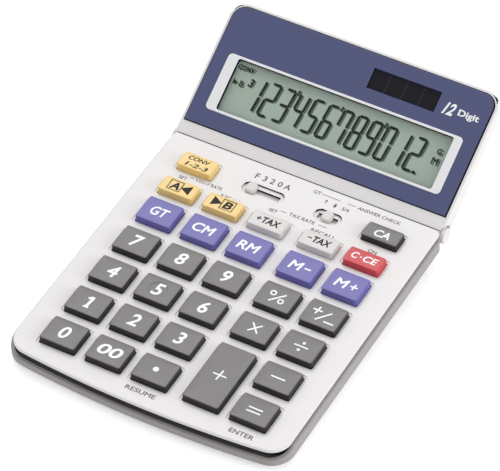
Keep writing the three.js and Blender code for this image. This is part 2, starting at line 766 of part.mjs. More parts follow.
const bayCuts = [
  plate(doorOutline(CLEARANCE), bellyZ - OVERRUN, doorTop + CLEARANCE),
  bar(CELL_X, CELL_Y, bellyZ, bayTop + OVERRUN, CELL_RADIUS + CLEARANCE, ROUND_STEPS),
  block(
    [sideContactX - CLEARANCE, CELL_Y - CONTACT_WIDTH / 2 - CLEARANCE, bellyZ],
    [CELL_X, CELL_Y + CONTACT_WIDTH / 2 + CLEARANCE, bayTop + OVERRUN],
  ),
  bar(doorScrewX, CELL_Y, bellyZ, doorBossTop + CLEARANCE, bossRadius + CLEARANCE),
  bar(doorScrewX, CELL_Y, bellyZ, bayTop + OVERRUN, SCREW_SHANK_RADIUS + CLEARANCE, COARSE_STEPS),
];

// Feet
const footX = caseHalf - FOOT_SIDE_MARGIN;
const FOOT_PLACES = [
  { name: "foot_front_left", x: -footX, y: caseFront + FOOT_FRONT_MARGIN },
  { name: "foot_front_right", x: footX, y: caseFront + FOOT_FRONT_MARGIN },
  { name: "foot_rear_left", x: -footX, y: caseRear - FOOT_REAR_MARGIN },
  { name: "foot_rear_right", x: footX, y: caseRear - FOOT_REAR_MARGIN },
];
const footRecesses = FOOT_PLACES.map((place) =>
  bar(place.x, place.y, bellyZ - OVERRUN, bellyZ + FOOT_RECESS, FOOT_RADIUS + CLEARANCE, ROUND_STEPS),
);

const tub = caseShell(0, bellyZ, 0).subtract(caseShell(CASE_WALL, floorZ, OVERRUN));
const caseBody = union([
  tub,
  ...[...caseBosses, ...pads].map((solid) => inDeck(solid).subtract(belowBelly)),
  ...lugs.map((lug) => inDeck(lug.body)),
  bayBlock,
]);
const caseRoof = inDeck(hingeSweep(HINGE_RADIUS + HINGE_CASE_GAP, lugLeft));

add(
  machine,
  "bottom_case",
  "case_plastic",
  cut(caseBody, [
    ...[...screwWells, ...lugs.map((lug) => lug.bore)].map(inDeck),
    ...bayCuts,
    ...footRecesses,
    caseRoof,
  ]),
);

function foot() {
  const profile = [
    [0, 0],
    [FOOT_RADIUS - FOOT_BEVEL, 0],
    [FOOT_RADIUS, FOOT_BEVEL],
    [FOOT_RADIUS, FOOT_THICKNESS],
    [0, FOOT_THICKNESS],
  ].map(([r, z]) => new THREE.Vector2(r, z));
  return solidOf(new THREE.LatheGeometry(profile, ROUND_STEPS).rotateX(Math.PI / 2));
}

FOOT_PLACES.forEach((place) => {
  add(machine, place.name, "rubber", foot()).position.set(place.x, place.y, 0);
});

// Screws, with the head at the foot and a cross recess in it
function screw(length) {
  const profile = [
    [0, -SCREW_HEAD_HEIGHT],
    [SCREW_HEAD_RADIUS - SCREW_HEAD_BEVEL, -SCREW_HEAD_HEIGHT],
    [SCREW_HEAD_RADIUS, SCREW_HEAD_BEVEL - SCREW_HEAD_HEIGHT],
    [SCREW_HEAD_RADIUS, 0],
    [SCREW_SHANK_RADIUS, 0],
    [SCREW_SHANK_RADIUS, length - SCREW_SHANK_RADIUS],
    [0, length],
  ].map(([r, z]) => new THREE.Vector2(r, z));
  const body = solidOf(new THREE.LatheGeometry(profile, SMALL_ROUND_STEPS).rotateX(Math.PI / 2));
  const half = SCREW_RECESS_WIDTH / 2;
  const low = -SCREW_HEAD_HEIGHT - OVERRUN;
  const high = SCREW_RECESS_DEPTH - SCREW_HEAD_HEIGHT;
  return cut(body, [
    block([-SCREW_RECESS_REACH, -half, low], [SCREW_RECESS_REACH, half, high]),
    block([-half, -SCREW_RECESS_REACH, low], [half, SCREW_RECESS_REACH, high]),
  ]);
}

SCREW_PLACES.forEach((place) => {
  const mesh = add(deck, place.name, "steel", screw(SCREW_LENGTH));
  mesh.position.set(place.x, place.y, screwHeadTop);
});

// Battery door, its screw, the cell and its two contacts
const doorBoss = bar(doorScrewX, CELL_Y, bellyZ, doorBossTop, bossRadius);
add(
  machine,
  "battery_door",
  "case_plastic",
  cut(plate(doorOutline(0), bellyZ, doorTop).add(doorBoss), [
    bar(
      doorScrewX,
      CELL_Y,
      bellyZ - OVERRUN,
      doorScrewSeat + CLEARANCE,
      SCREW_HEAD_RADIUS + CLEARANCE,
    ),
    bar(doorScrewX, CELL_Y, bellyZ, bayTop, SCREW_SHANK_RADIUS + CLEARANCE, COARSE_STEPS),
  ]),
);

const deckUnderside = (x, y) => deckToTable(x, y, boardFoot).z;
const doorScrew = add(machine, "battery_door_screw", "steel", screw(bayTop - doorScrewSeat));
doorScrew.position.set(doorScrewX, CELL_Y, doorScrewSeat);

add(
  machine,
  "button_cell",
  "cell_steel",
  union([
    bar(CELL_X, CELL_Y, cellFoot, cellTop - CONTACT_THICKNESS, CELL_RADIUS, ROUND_STEPS),
    bar(CELL_X, CELL_Y, cellFoot, cellTop, CELL_RADIUS - BAY_WALL / 2, ROUND_STEPS),
  ]),
);

const contactTop = deckUnderside(CELL_X, CELL_Y - CONTACT_WIDTH / 2) - CLEARANCE;
const contactHalf = CONTACT_WIDTH / 2;
add(
  machine,
  "battery_contact_positive",
  "steel",
  union([
    block(
      [sideContactX, CELL_Y - contactHalf, cellFoot],
      [sideContactX + CONTACT_THICKNESS, CELL_Y + contactHalf, contactTop],
    ),
    block(
      [sideContactX - CONTACT_REACH, CELL_Y - contactHalf, contactTop - CONTACT_THICKNESS],
      [sideContactX + CONTACT_THICKNESS, CELL_Y + contactHalf, contactTop],
    ),
  ]),
);
const leafFoot = cellTop + CLEARANCE;
add(
  machine,
  "battery_contact_negative",
  "steel",
  union([
    block(
      [CELL_X - CONTACT_REACH / 2, CELL_Y - contactHalf, leafFoot],
      [CELL_X + CONTACT_REACH, CELL_Y + contactHalf, leafFoot + CONTACT_THICKNESS],
    ),
    block(
      [CELL_X + CONTACT_REACH - CONTACT_THICKNESS, CELL_Y - contactHalf, leafFoot],
      [CELL_X + CONTACT_REACH, CELL_Y + contactHalf, contactTop],
    ),
    block(
      [CELL_X + CONTACT_REACH - CONTACT_THICKNESS, CELL_Y - contactHalf, contactTop - CONTACT_THICKNESS],
      [CELL_X + 2 * CONTACT_REACH, CELL_Y + contactHalf, contactTop],
    ),
  ]),
);

// Display: its frame starts at the hinge's axis, with Y up the display and Z out of its face

const displayHalf = caseHalf - DISPLAY_EDGE;
const faceZ = HINGE_RADIUS;
const panelHalf = displayHalf - PANEL_RIM;
const panelOuterRadius = DISPLAY_CORNER_RADIUS - PANEL_RIM;
const panelFoot = STRIP_LENGTH;
const windowFoot = panelFoot + WINDOW_FOOT_MARGIN;
const windowTop = windowFoot + WINDOW_LENGTH;
const solarFoot = windowTop + SOLAR_WINDOW_GAP;
const solarTop = solarFoot + SOLAR_LENGTH;
const panelTop = solarTop + SOLAR_TOP_MARGIN + PANEL_GROOVE;
const displayLength = panelTop + PANEL_RIM;
const ledgeZ = faceZ + PANEL_PROUD - PANEL_THICKNESS - CLEARANCE;
const panelLow = ledgeZ + CLEARANCE;
const panelHigh = panelLow + PANEL_THICKNESS;
const backSlope = (2 * HINGE_RADIUS - DISPLAY_TOP_THICKNESS) / displayLength;
const backZ = (u) => backSlope * u - HINGE_RADIUS;

// A display outline with square lower corners at the foot and round upper ones
function displayOutline(half, foot, top, radius) {
  const x = half - radius;
  const y = top - radius;
  return [
    new THREE.Vector2(half, foot),
    ...arc(x, y, radius, 0, Math.PI / 2, CORNER_STEPS),
    ...arc(-x, y, radius, Math.PI / 2, Math.PI, CORNER_STEPS),
    new THREE.Vector2(-half, foot),
  ];
}

const sloped = (outline, lift) =>
  outline.map((p) => new THREE.Vector3(p.x, p.y, backZ(p.y) + lift));

const housingOutline = displayOutline(displayHalf, 0, displayLength, DISPLAY_CORNER_RADIUS);
const bevelOutline = displayOutline(
  displayHalf - DISPLAY_BEVEL,
  0,
  displayLength - DISPLAY_BEVEL,
  DISPLAY_CORNER_RADIUS - DISPLAY_BEVEL,
);
const wedge = loft([
  sloped(bevelOutline, 0),
  sloped(housingOutline, DISPLAY_BEVEL),
  raise(housingOutline, faceZ - DISPLAY_BEVEL),
  raise(bevelOutline, faceZ),
]);
const barrel = crossBar(-displayHalf, displayHalf, 0, 0, HINGE_RADIUS, 2 * ROUND_STEPS);

const cavityHalf = panelHalf - PANEL_LEDGE;
const cavityFoot = panelFoot + PANEL_LEDGE / 2;
const cavityTop = panelTop - PANEL_LEDGE;
const cavityOutline = displayOutline(
  cavityHalf,
  cavityFoot,
  cavityTop,
  panelOuterRadius - PANEL_LEDGE / 2,
);
const cavity = loft([sloped(cavityOutline, DISPLAY_WALL), raise(cavityOutline, faceZ + OVERRUN)]);
const panelSeat = plate(
  displayOutline(panelHalf, panelFoot - PANEL_GROOVE, panelTop, panelOuterRadius),
  ledgeZ,
  faceZ + OVERRUN,
);

// Notches in the barrel leave a thin skin over the lugs at every angle of the display
const lowestTurn = displayTilt + rad(HINGE_LIFT_DEG);
const neckTopAngle = Math.PI + Math.asin(LUG_NECK_TOP / HINGE_RADIUS) - lowestTurn;
const skinInner = HINGE_RADIUS - HINGE_SKIN;
const neckFootAngle = Math.PI + Math.asin(LUG_RADIUS / skinInner);
const notchMargin = Math.asin(CLEARANCE / LUG_RADIUS);

function lugNotch(side) {
  const ends = [side * (lugLeft - CLEARANCE), side * (lugRight + CLEARANCE)].sort((a, b) => a - b);
  const round = crossBar(ends[0], ends[1], 0, 0, skinInner);
  const reach = HINGE_RADIUS + OVERRUN;
  const sector = [
    new THREE.Vector2(0, 0),
    ...arc(0, 0, reach, neckTopAngle - notchMargin, neckFootAngle + notchMargin, CORNER_STEPS),
  ];
  const shape = new THREE.Shape(sector);
  const options = { depth: ends[1] - ends[0], bevelEnabled: false };
  const wedgeCut = new THREE.ExtrudeGeometry(shape, options)
    .rotateX(Math.PI / 2)
    .rotateZ(Math.PI / 2)
    .translate(ends[0], 0, 0);
  return round.add(solidOf(wedgeCut));
}

const earBores = crossBar(
  -displayHalf - OVERRUN,
  displayHalf + OVERRUN,
  0,
  0,
  HINGE_PIN_RADIUS + CLEARANCE,
  SMALL_ROUND_STEPS,
);
const coreFill = crossBar(
  CLEARANCE - lugLeft,
  lugLeft - CLEARANCE,
  0,
  0,
  HINGE_PIN_RADIUS + 2 * CLEARANCE,
  SMALL_ROUND_STEPS,
);
const capInner = lugRight + CLEARANCE + EAR_WIDTH;
const capNotches = [-1, 1].map((side) => {
  const ends = [side * capInner, side * (displayHalf + OVERRUN)].sort((a, b) => a - b);
  return crossBar(ends[0], ends[1], 0, 0, HINGE_RADIUS + CLEARANCE);
});
const boardRibX = displayHalf / 2;
const glassTop = panelLow - CLEARANCE;
const glassFoot = glassTop - GLASS_THICKNESS;
const displayBoardTop = glassFoot - CLEARANCE;
const displayBoardFoot = displayBoardTop - DISPLAY_BOARD_THICKNESS;

const windowMiddle = (windowFoot + windowTop) / 2;
const windowWidth = 2 * (panelHalf - WINDOW_SIDE_MARGIN);
const glassWidth = windowWidth - 2 * BEZEL_SIDE + 2 * GLASS_BORDER;
const glassLength = WINDOW_LENGTH - 2 * BEZEL_END + 2 * GLASS_BORDER;

const boardRibs = [-1, 1].map((side) =>
  block(
    [side * boardRibX - DISPLAY_WALL / 2, cavityFoot, backZ(cavityFoot)],
    [side * boardRibX + DISPLAY_WALL / 2, windowTop, displayBoardFoot - CLEARANCE],
  ).intersect(wedge),
);

add(
  display,
  "display_back_cover",
  "silver_plastic",
  cut(cut(wedge.add(barrel), [cavity, panelSeat]).add(union(boardRibs)), [
    ...[-1, 1].map(lugNotch),
    earBores.subtract(coreFill),
    ...capNotches,
  ]),
);

// Front panel with its window and a stepped opening for the solar cell
const solarLedge = panelHigh - SOLAR_POCKET;
const panelOutline = displayOutline(
  panelHalf - PANEL_GROOVE,
  panelFoot,
  panelTop - PANEL_GROOVE,
  panelOuterRadius - PANEL_GROOVE,
);
const windowOutline = (grow) =>
  roundedRect(
    0,
    windowMiddle,
    windowWidth + 2 * grow,
    WINDOW_LENGTH + 2 * grow,
    WINDOW_CORNER_RADIUS + grow,
    KEY_CORNER_STEPS,
  );
const lensOutline = (grow) =>
  roundedRect(
    0,
    windowMiddle,
    windowWidth - 2 * BEZEL_SIDE + 2 * grow,
    WINDOW_LENGTH - 2 * BEZEL_END + 2 * grow,
    WINDOW_CORNER_RADIUS / 2,
    KEY_CORNER_STEPS,
  );
const solarBlock = (grow, low, high) =>
  block(
    [SOLAR_CENTRE - SOLAR_WIDTH / 2 - grow, solarFoot - grow, low],
    [SOLAR_CENTRE + SOLAR_WIDTH / 2 + grow, solarTop + grow, high],
  );

add(
  display,
  "display_front_panel",
  "blue_panel",
  cut(plate(panelOutline, panelLow, panelHigh), [
    plate(windowOutline(CLEARANCE), panelLow - OVERRUN, panelHigh + OVERRUN),
    solarBlock(0, panelLow - OVERRUN, panelHigh + OVERRUN),
    solarBlock(SOLAR_POCKET, panelLow - OVERRUN, solarLedge),
  ]),
);
add(
  display,
  "window_frame",
  "white_bezel",
  plate(windowOutline(0), panelLow, panelHigh + BEZEL_PROUD).subtract(
    plate(lensOutline(CLEARANCE), panelLow - OVERRUN, panelHigh + OVERRUN),
  ),
);
add(
  display,
  "display_window",
  "clear_lens",
  plate(lensOutline(0), panelHigh - LENS_SINK, panelHigh - LENS_SINK + LENS_THICKNESS),
);
add(
  display,
  "liquid_crystal_glass",
  "liquid_crystal",
  plate(roundedRect(0, windowMiddle, glassWidth, glassLength, GLASS_CORNER, 1), glassFoot, glassTop),
);
add(
  display,
  "solar_cell",
  "solar_glass",
  solarBlock(
    SOLAR_POCKET - CLEARANCE,
    solarLedge - CLEARANCE - SOLAR_THICKNESS,
    solarLedge - CLEARANCE,
  ),
);
add(
  display,
  "display_board",
  "circuit_board",
  plate(
    roundedRect(0, windowMiddle, glassWidth, glassLength, GLASS_CORNER, 1),
    displayBoardFoot,
    displayBoardTop,
  ),
);

// Hinge caps: a pin through the display's ear into the case's lug, with a round head flush at the side
function hingeCap() {
  const pinLength = capInner + CLEARANCE - lugLeft - OVERRUN;
  const profile = [
    [0, -pinLength],
    [HINGE_PIN_RADIUS, -pinLength],
    [HINGE_PIN_RADIUS, 0],
    [HINGE_CAP_RADIUS, 0],
    [HINGE_CAP_RADIUS, HINGE_CAP_THICKNESS - DISPLAY_BEVEL],
    [HINGE_CAP_RADIUS - DISPLAY_BEVEL, HINGE_CAP_THICKNESS],
    [0, HINGE_CAP_THICKNESS],
  ].map(([r, z]) => new THREE.Vector2(r, z));
  return solidOf(new THREE.LatheGeometry(profile, ROUND_STEPS).rotateZ(-Math.PI / 2));
}

[-1, 1].forEach((side) => {
  const name = side < 0 ? "hinge_cap_left" : "hinge_cap_right";
  const cap = add(deck, name, "silver_plastic", hingeCap());
  cap.position.set(side * (capInner + CLEARANCE), hingeY, hingeZ);
  cap.rotation.y = side < 0 ? Math.PI : 0;
});

// The finished model stands on its feet with the middle of its box over the origin
const group = new THREE.Group();
group.add(machine);
group.updateMatrixWorld(true);
const reach = new THREE.Box3().setFromObject(machine, true);
const middle = reach.getCenter(new THREE.Vector3());
machine.position.set(-middle.x, -middle.y, -reach.min.z);
group.updateMatrixWorld(true);

export default group;
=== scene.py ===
"""Desktop calculator with a tilting display: its visible pieces, finishes and stage, as an add-on."""
import json
import math
from contextlib import contextmanager
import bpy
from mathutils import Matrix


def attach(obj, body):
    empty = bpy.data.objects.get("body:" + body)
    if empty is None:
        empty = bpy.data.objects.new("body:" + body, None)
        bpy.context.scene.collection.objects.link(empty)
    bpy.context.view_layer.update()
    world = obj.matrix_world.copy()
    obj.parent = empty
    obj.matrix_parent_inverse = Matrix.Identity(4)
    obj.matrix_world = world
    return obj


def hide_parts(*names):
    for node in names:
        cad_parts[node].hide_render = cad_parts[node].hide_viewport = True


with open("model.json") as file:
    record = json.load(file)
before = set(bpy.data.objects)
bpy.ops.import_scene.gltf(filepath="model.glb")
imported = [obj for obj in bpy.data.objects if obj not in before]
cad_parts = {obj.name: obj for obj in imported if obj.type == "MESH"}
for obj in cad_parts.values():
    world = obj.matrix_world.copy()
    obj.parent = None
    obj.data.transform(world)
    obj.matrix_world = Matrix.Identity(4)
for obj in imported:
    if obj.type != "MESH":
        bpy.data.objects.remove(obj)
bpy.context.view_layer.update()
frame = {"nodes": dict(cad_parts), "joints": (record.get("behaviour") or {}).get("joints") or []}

from types import SimpleNamespace

import bmesh
import bpy
from mathutils import Matrix, Vector

bl_info = {
    "name": "Desktop calculator",
    "version": (1, 0, 0),
    "blender": (4, 5, 0),
    "location": "3D View > Sidebar > Calculator",
    "description": "Models the keys, cover, case and tilting display of a desktop calculator",
    "category": "Object",
}

MM = 0.001
CLEARANCE = 0.3
OVERRUN = 1.0
NEAR = 0.01
X, Y, Z = range(3)

# Shares of a face's direction that tell flat, steep and leaning faces apart
FLAT = 0.9
STEEP = 0.5
LEANING = 0.35
SLIGHT = 0.2
SMOOTH_BELOW = math.radians(32)

# Sides of round bars and dots
PAD_SIDES = 16
BORE_SIDES = 24
POST_SIDES = 32
LUG_SIDES = 48
CAP_SIDES = 64
BARREL_SIDES = 96
BOW_SIDES = 720

# Steps of rounded edges and corners
TINY_STEPS = 2
SMALL_STEPS = 3
EDGE_STEPS = 4
BEND_STEPS = 5
SOFT_STEPS = 6
CORNER_STEPS = 8
WIDE_STEPS = 10
FRONT_STEPS = 12
LETTER_STEPS = 5

# The noise in the finishes
CLOUD_DETAIL = 4
GRAIN_DETAIL = 2
GRAIN_FLATNESS = 10


def length(label, about, millimetres):
    """A size that the user can change, kept in metres and given here in millimetres."""
    return bpy.props.FloatProperty(
        name=label, description=about, default=millimetres * MM, unit="LENGTH", precision=5
    )


def angle(label, about, degrees):
    """An angle that the user can change, given here in degrees."""
    return bpy.props.FloatProperty(
        name=label, description=about, default=math.radians(degrees), unit="ROTATION"
    )


def colour(label, about, rgb):
    """A colour that the user can change."""
    return bpy.props.FloatVectorProperty(
        name=label, description=about, default=rgb, subtype="COLOR", min=0, max=1
    )


class KeySizes(bpy.types.PropertyGroup):
    """Sizes of the keys and of the grid that they stand in"""

    column_spacing: length("Column spacing", "From one column of keys to the next", 19.5)
    operator_gap: length("Operator gap", "Extra space before the two operator columns", 2.31)
    row_spacing: length("Row spacing", "From one row of large keys to the next", 17.47)
    small_row_spacing: length("Small row spacing", "From one row of small keys to the next", 14.64)
    hole_width: length("Hole width", "Width of a key's hole in the cover", 16)
    hole_depth: length("Hole depth", "Depth of a large key's hole", 13.3)
    small_hole_depth: length("Small hole depth", "Depth of a small key's hole", 8.9)
    gap: length("Gap", "Gap between a key and its hole", 0.35)
    show_gap: length("Visible gap", "Gap between a key and the finished rim of its hole", 0.16)
    rise: length("Rise", "Height of a key over the cover", 2.5)
    draft: length("Draft", "How far a key's sides lean in", 0.3)
    corner: length("Corner", "Radius of a key's corners", 1.05)
    edge: length("Edge", "Radius of a key's top edge", 0.32)
    dish: length("Dish", "Depth of the hollow in a key's top", 0.22)
    wall: length("Wall", "Thickness of a key's walls", 0.7)
    flange: length("Flange", "Reach and thickness of the stop under the cover", 0.8)
    travel: length("Travel", "How far a key can be pressed", 1.6)
    home_dish: length("Home dish", "Radius of the round hollow in the middle key", 3.9)


class CoverSizes(bpy.types.PropertyGroup):
    """Sizes of the top cover, its switches and its skirt"""

    side_margin: length("Side margin", "Cover beside the outer key holes", 9.85)
    front_margin: length("Front margin", "Cover in front of the key holes", 9.2)
    rear_margin: length("Rear margin", "Cover behind the key holes", 8.84)
    bow: length("Bow", "How far the front edge curves forward", 3.5)
    corner: length("Corner", "Radius of the front corners", 8)
    rear_corner: length("Rear corner", "Radius of the rear corners", 1.5)
    thickness: length("Thickness", "Thickness of the cover", 1.6)
    edge: length("Edge", "Radius of the cover's top edge", 0.4)
    rim: length("Rim", "Radius of the rims of the key holes", 0.2)
    ledge: length("Ledge", "Width of the step round a key hole", 0.7)
    ledge_depth: length("Ledge depth", "Depth of the step round a key hole", 0.3)
    ledge_rim: length("Ledge rim", "Radius of the step's upper edge", 0.07)
    skirt: length("Skirt", "Depth of the inner skirt", 4)
    skirt_thickness: length("Skirt thickness", "Thickness of the inner skirt", 1.2)
    groove: length("Groove", "Depth of the groove under the front edge", 1.2)
    proud: length("Proud", "How far the case stands out beside the cover", 1.2)
    well_depth: length("Well depth", "Size of a switch well from front to back", 6.2)
    well_floor: length("Well floor", "Depth of a switch well below the cover", 0.8)
    slot_depth: length("Slot depth", "Width of the slot that a switch slides in", 2.6)
    decimal_centre: length("Decimal switch", "Middle of the decimal switch's well", -11.6)
    decimal_width: length("Decimal well", "Width of the decimal switch's well", 17.8)
    decimal_travel: length("Decimal travel", "How far the decimal switch slides", 10)
    rounding_centre: length("Rounding switch", "Middle of the rounding switch's well", 16.4)
    rounding_width: length("Rounding well", "Width of the rounding switch's well", 11.6)
    rounding_travel: length("Rounding travel", "How far the rounding switch slides", 4)
    knob_width: length("Knob width", "Width of a slide knob", 4.4)
    knob_depth: length("Knob depth", "Size of a slide knob from front to back", 5.4)
    knob_rise: length("Knob rise", "Height of a slide knob over the cover", 1.1)
    knob_corner: length("Knob corner", "Radius of a slide knob's corners", 1.9)
    knob_edge: length("Knob edge", "Radius of a slide knob's top edge", 0.8)
    carrier: length("Carrier", "Thickness of the strip that slides under a slot", 0.6)
    post: length("Post", "Radius of a screw post", 2.1)
    hinge_gap: length("Hinge gap", "Room between the cover and the hinge barrel", 0.7)
    print_lift: length("Print", "Height of the print over the cover", 0.02)


class CaseSizes(bpy.types.PropertyGroup):
    """Sizes of the lower case, its feet and the board in it"""

    wall: length("Wall", "Thickness of the case's walls", 1.4)
    floor: length("Floor", "Thickness of the case's floor", 1.3)
    rim: length("Rim", "Height of the upright rim", 5.2)
    lip_drop: length("Lip drop", "How far the front lip lies below the rim", 2.4)
    side_inset: length("Side inset", "How far the belly is drawn in at the sides", 7)
    front_inset: length("Front inset", "How far the belly is drawn in at the front", 3.3)
    stand: length("Stand", "Height of the belly over the table", 1)
    edge: length("Edge", "Radius of the rim's outer edge", 0.35)
    knee_radius: length("Knee radius", "Radius of the bends below the rim", 2)
    sheet: length("Sheet", "Thickness of the rubber sheet under the keys", 0.8)
    board: length("Board", "Thickness of the circuit board", 1.2)
    board_side: length("Board side", "Room between the skirt and the board at a side", 5)
    board_front: length("Board front", "Room between the bowed front and the board", 4)
    board_rear: length("Board rear", "Room between the skirt and the board at the rear", 3)
    pad: length("Pad", "Radius of the board's pads", 2)
    lug: length("Lug", "Radius of the hinge lugs", 2.8)
    lug_width: length("Lug width", "Width of a hinge lug", 7.7)
    neck_top: length("Neck top", "How far the lug's neck lies below the hinge", 0.7)
    hinge_gap: length("Hinge gap", "Room between the case and the hinge barrel", 0.5)
    foot: length("Foot", "Radius of a foot", 5)
    foot_height: length("Foot height", "Thickness of a foot", 1.3)
    foot_edge: length("Foot edge", "Radius of a foot's lower edge", 0.4)
    foot_recess: length("Foot recess", "Depth of a foot's seat", 0.6)
    foot_side: length("Foot side", "From the case's side to a foot's middle", 14)
    foot_front: length("Foot front", "From the case's front to a front foot's middle", 12)
    foot_rear: length("Foot rear", "From the case's rear to a rear foot's middle", 13)


class BaySizes(bpy.types.PropertyGroup):
    """Sizes of the battery bay and its door"""

    cell: length("Cell", "Radius of the button cell", 5.8)
    cell_x: length("Cell place across", "The cell's middle to the right of the calculator's", 18)
    cell_y: length("Cell place along", "The cell's middle behind the row of seven", 26)
    door_depth: length("Door depth", "Size of the door from front to back", 17)
    door: length("Door", "Thickness of the door", 1)
    door_edge: length("Door edge", "Radius of the door's lower edge", 0.3)
    ledge: length("Ledge", "Floor between the cell and the door's edge", 1.5)
    wall: length("Wall", "Thickness of the bay's walls", 2)
    height: length("Height", "Height of the bay over the belly", 4.6)
    contact: length("Contact", "Width of a contact", 3)
    contact_thickness: length("Contact thickness", "Thickness of a contact", 0.4)
    screw_web: length("Screw web", "Wall between the cell and the door's screw", 1.3)
    grip_width: length("Grip width", "Width of the grooves in the door", 0.7)
    grip_depth: length("Grip depth", "Depth of the grooves in the door", 0.35)


class ScrewSizes(bpy.types.PropertyGroup):
    """Sizes of the screws"""

    head: length("Head", "Radius of a screw's head", 2.2)
    head_height: length("Head height", "Height of a screw's head", 1.3)
    head_edge: length("Head edge", "Radius of the head's edge", 0.35)
    shank: length("Shank", "Radius of a screw's shank", 1)
    length: length("Length", "Length of a screw's shank", 6.2)
    web: length("Web", "Plastic under a screw's head", 0.8)
    boss_wall: length("Boss wall", "Wall round a screw's head", 1)
    recess_width: length("Recess width", "Width of the cross recess's arms", 0.6)
    recess_reach: length("Recess reach", "Length of the cross recess's arms", 1.3)
    recess_depth: length("Recess depth", "Depth of the cross recess", 0.6)


class DisplaySizes(bpy.types.PropertyGroup):
    """Sizes of the tilting display"""

    tilt: angle("Tilt", "The display's slope over the keyboard", 29.2)
    setback: length("Setback", "From the cover's rear edge to the hinge", 2.2)
    barrel: length("Barrel", "Radius of the hinge barrel", 3.9)
    skin: length("Skin", "Thickness of the barrel over the lugs", 0.8)
    ear: length("Ear", "Width of the housing's ears", 2.9)
    pin: length("Pin", "Radius of the hinge pins", 1.5)
    cap: length("Cap", "Radius of the hinge caps", 3.2)
    cap_thickness: length("Cap thickness", "Thickness of the hinge caps", 1.9)
    cap_edge: length("Cap edge", "Radius of the caps' outer edge", 0.5)
    cap_ring: length("Cap ring", "Width of the ring on a cap", 0.8)
    lift: angle("Lift", "How far the display can be lifted further", 21)
    edge: length("Edge", "How far the display is narrower than the case", 0.6)
    top_thickness: length("Top thickness", "Thickness at the top edge", 5)
    corner: length("Corner", "Radius of the upper corners", 7)
    bevel: length("Bevel", "Radius of the outer edges", 0.74)
    wall: length("Wall", "Thickness of the housing's walls", 1.3)
    rim: length("Rim", "Silver rim round the panel", 1.3)
    groove: length("Groove", "Gap round the panel", 0.4)
    proud: length("Proud", "How far the panel stands over the rim", 0.5)
    panel: length("Panel", "Thickness of the panel", 1.6)
    panel_edge: length("Panel edge", "Radius of the panel's edges", 0.25)
    ledge: length("Ledge", "Seat under the panel's edge", 2)
    strip: length("Strip", "Silver strip below the panel", 6.1)
    line_place: length("Line place", "From the hinge to the fine line across the strip", 0.1)
    line_width: length("Line width", "Width of the fine line across the strip", 0.3)
    line_depth: length("Line depth", "Depth of the fine line across the strip", 0.35)
    window_side: length("Window side", "Panel beside the window", 6.2)
    window_foot: length("Window foot", "Panel below the window", 6.7)
    window_length: length("Window length", "Size of the window up the display", 24.2)
    window_corner: length("Window corner", "Radius of the window's corners", 1.8)
    bezel_side: length("Bezel side", "Width of the frame at its sides", 4)
    bezel_more: length("Bezel more", "Extra width of the frame at its left", 0.9)
    bezel_end: length("Bezel end", "Width of the frame above and below", 1.4)
    bezel_proud: length("Bezel proud", "How far the frame stands over the panel", 0.3)
    bezel_edge: length("Bezel edge", "Radius of the frame's edges", 0.25)
    pane: length("Pane", "Thickness of the clear window", 0.8)
    pane_sink: length("Pane sink", "How far the clear window's foot lies below the panel", 1.1)
    glass: length("Glass", "Thickness of the crystal glass", 1.6)
    glass_border: length("Glass border", "Crystal glass hidden behind the frame", 2.2)
    solar_width: length("Solar width", "Width of the solar window", 29.3)
    solar_length: length("Solar length", "Size of the solar window up the display", 8.4)
    solar_centre: length("Solar centre", "From the middle to the solar window's middle", 20.7)
    solar_gap: length("Solar gap", "From the window to the solar window", 5.6)
    solar_margin: length("Solar margin", "Panel above the solar window", 5.5)
    solar_pocket: length("Solar pocket", "Depth of the solar window", 0.8)
    solar_thickness: length("Solar thickness", "Thickness of the solar cell", 0.9)
    solar_line: length("Solar line", "Width of the lines between the cell's fields", 0.16)
    digit_spacing: length("Digit spacing", "From one digit to the next", 6.34)
    digit_width: length("Digit width", "Width of a digit", 4.9)
    digit_height: length("Digit height", "Height of a digit", 14.6)
    stroke: length("Stroke", "Width of a digit's strokes", 1.08)
    digit_slant: length("Digit slant", "How far a digit's top leans to the right", 1.25)
    mark: length("Mark", "Thickness of the crystal's marks", 0.03)
    shade_right: length("Shade right", "How far the digits' shade lies to the right", 0.8)
    shade_down: length("Shade down", "How far the digits' shade lies below them", 0.3)


class Finishes(bpy.types.PropertyGroup):
    """Colours of the pieces"""

    silver: colour("Silver", "Painted cover and display housing", (0.75, 0.73, 0.73))
    case: colour("Case", "Lower case", (0.33, 0.314, 0.308))
    grey: colour("Grey", "Grey keys", (0.1, 0.091, 0.09))
    # The grey keys' sides are a darker copy of their tops' plastic: painted shade, the tops keep the lighter
    # grey
    grey_shaded_side: colour("Grey shaded side", "Sides of the grey keys", (0.018, 0.015, 0.015))
    violet: colour("Violet", "Memory keys", (0.105, 0.092, 0.36))
    yellow: colour("Yellow", "Conversion keys", (0.79, 0.56, 0.195))
    pale: colour("Pale", "Tax keys", (0.62, 0.6, 0.59))
    knob: colour("Knob", "Slide knobs", (0.62, 0.6, 0.59))
    red: colour("Red", "Clear key", (0.56, 0.047, 0.06))
    blue: colour("Blue", "Display panel", (0.058, 0.07, 0.175))
    white: colour("White", "Window frame", (0.78, 0.78, 0.8))
    legend: colour("Legend", "Lettering on the dark keys", (0.88, 0.88, 0.88))
    ink: colour("Ink", "Lettering on the pale keys", (0.02, 0.018, 0.018))
    print: colour("Print", "Small print on the cover", (0.1, 0.09, 0.095))
    crystal: colour("Crystal", "Crystal glass", (0.36, 0.44, 0.38))
    digit: colour("Digit", "Dark digits", (0.006, 0.009, 0.008))
    # The solar cell's colour also serves as the painted shade in recesses, gaps and grooves
    solar: colour("Solar", "Solar cell", (0.006, 0.006, 0.011))
    solar_line: colour("Solar line", "Lines between the solar cell's fields", (0.05, 0.055, 0.07))
    rubber: colour("Rubber", "Feet", (0.02, 0.02, 0.021))
    membrane: colour("Membrane", "Rubber sheet under the keys", (0.28, 0.32, 0.35))
    board: colour("Board", "Circuit boards", (0.03, 0.14, 0.05))
    steel: colour("Steel", "Screws, contacts and button cell", (0.52, 0.53, 0.54))


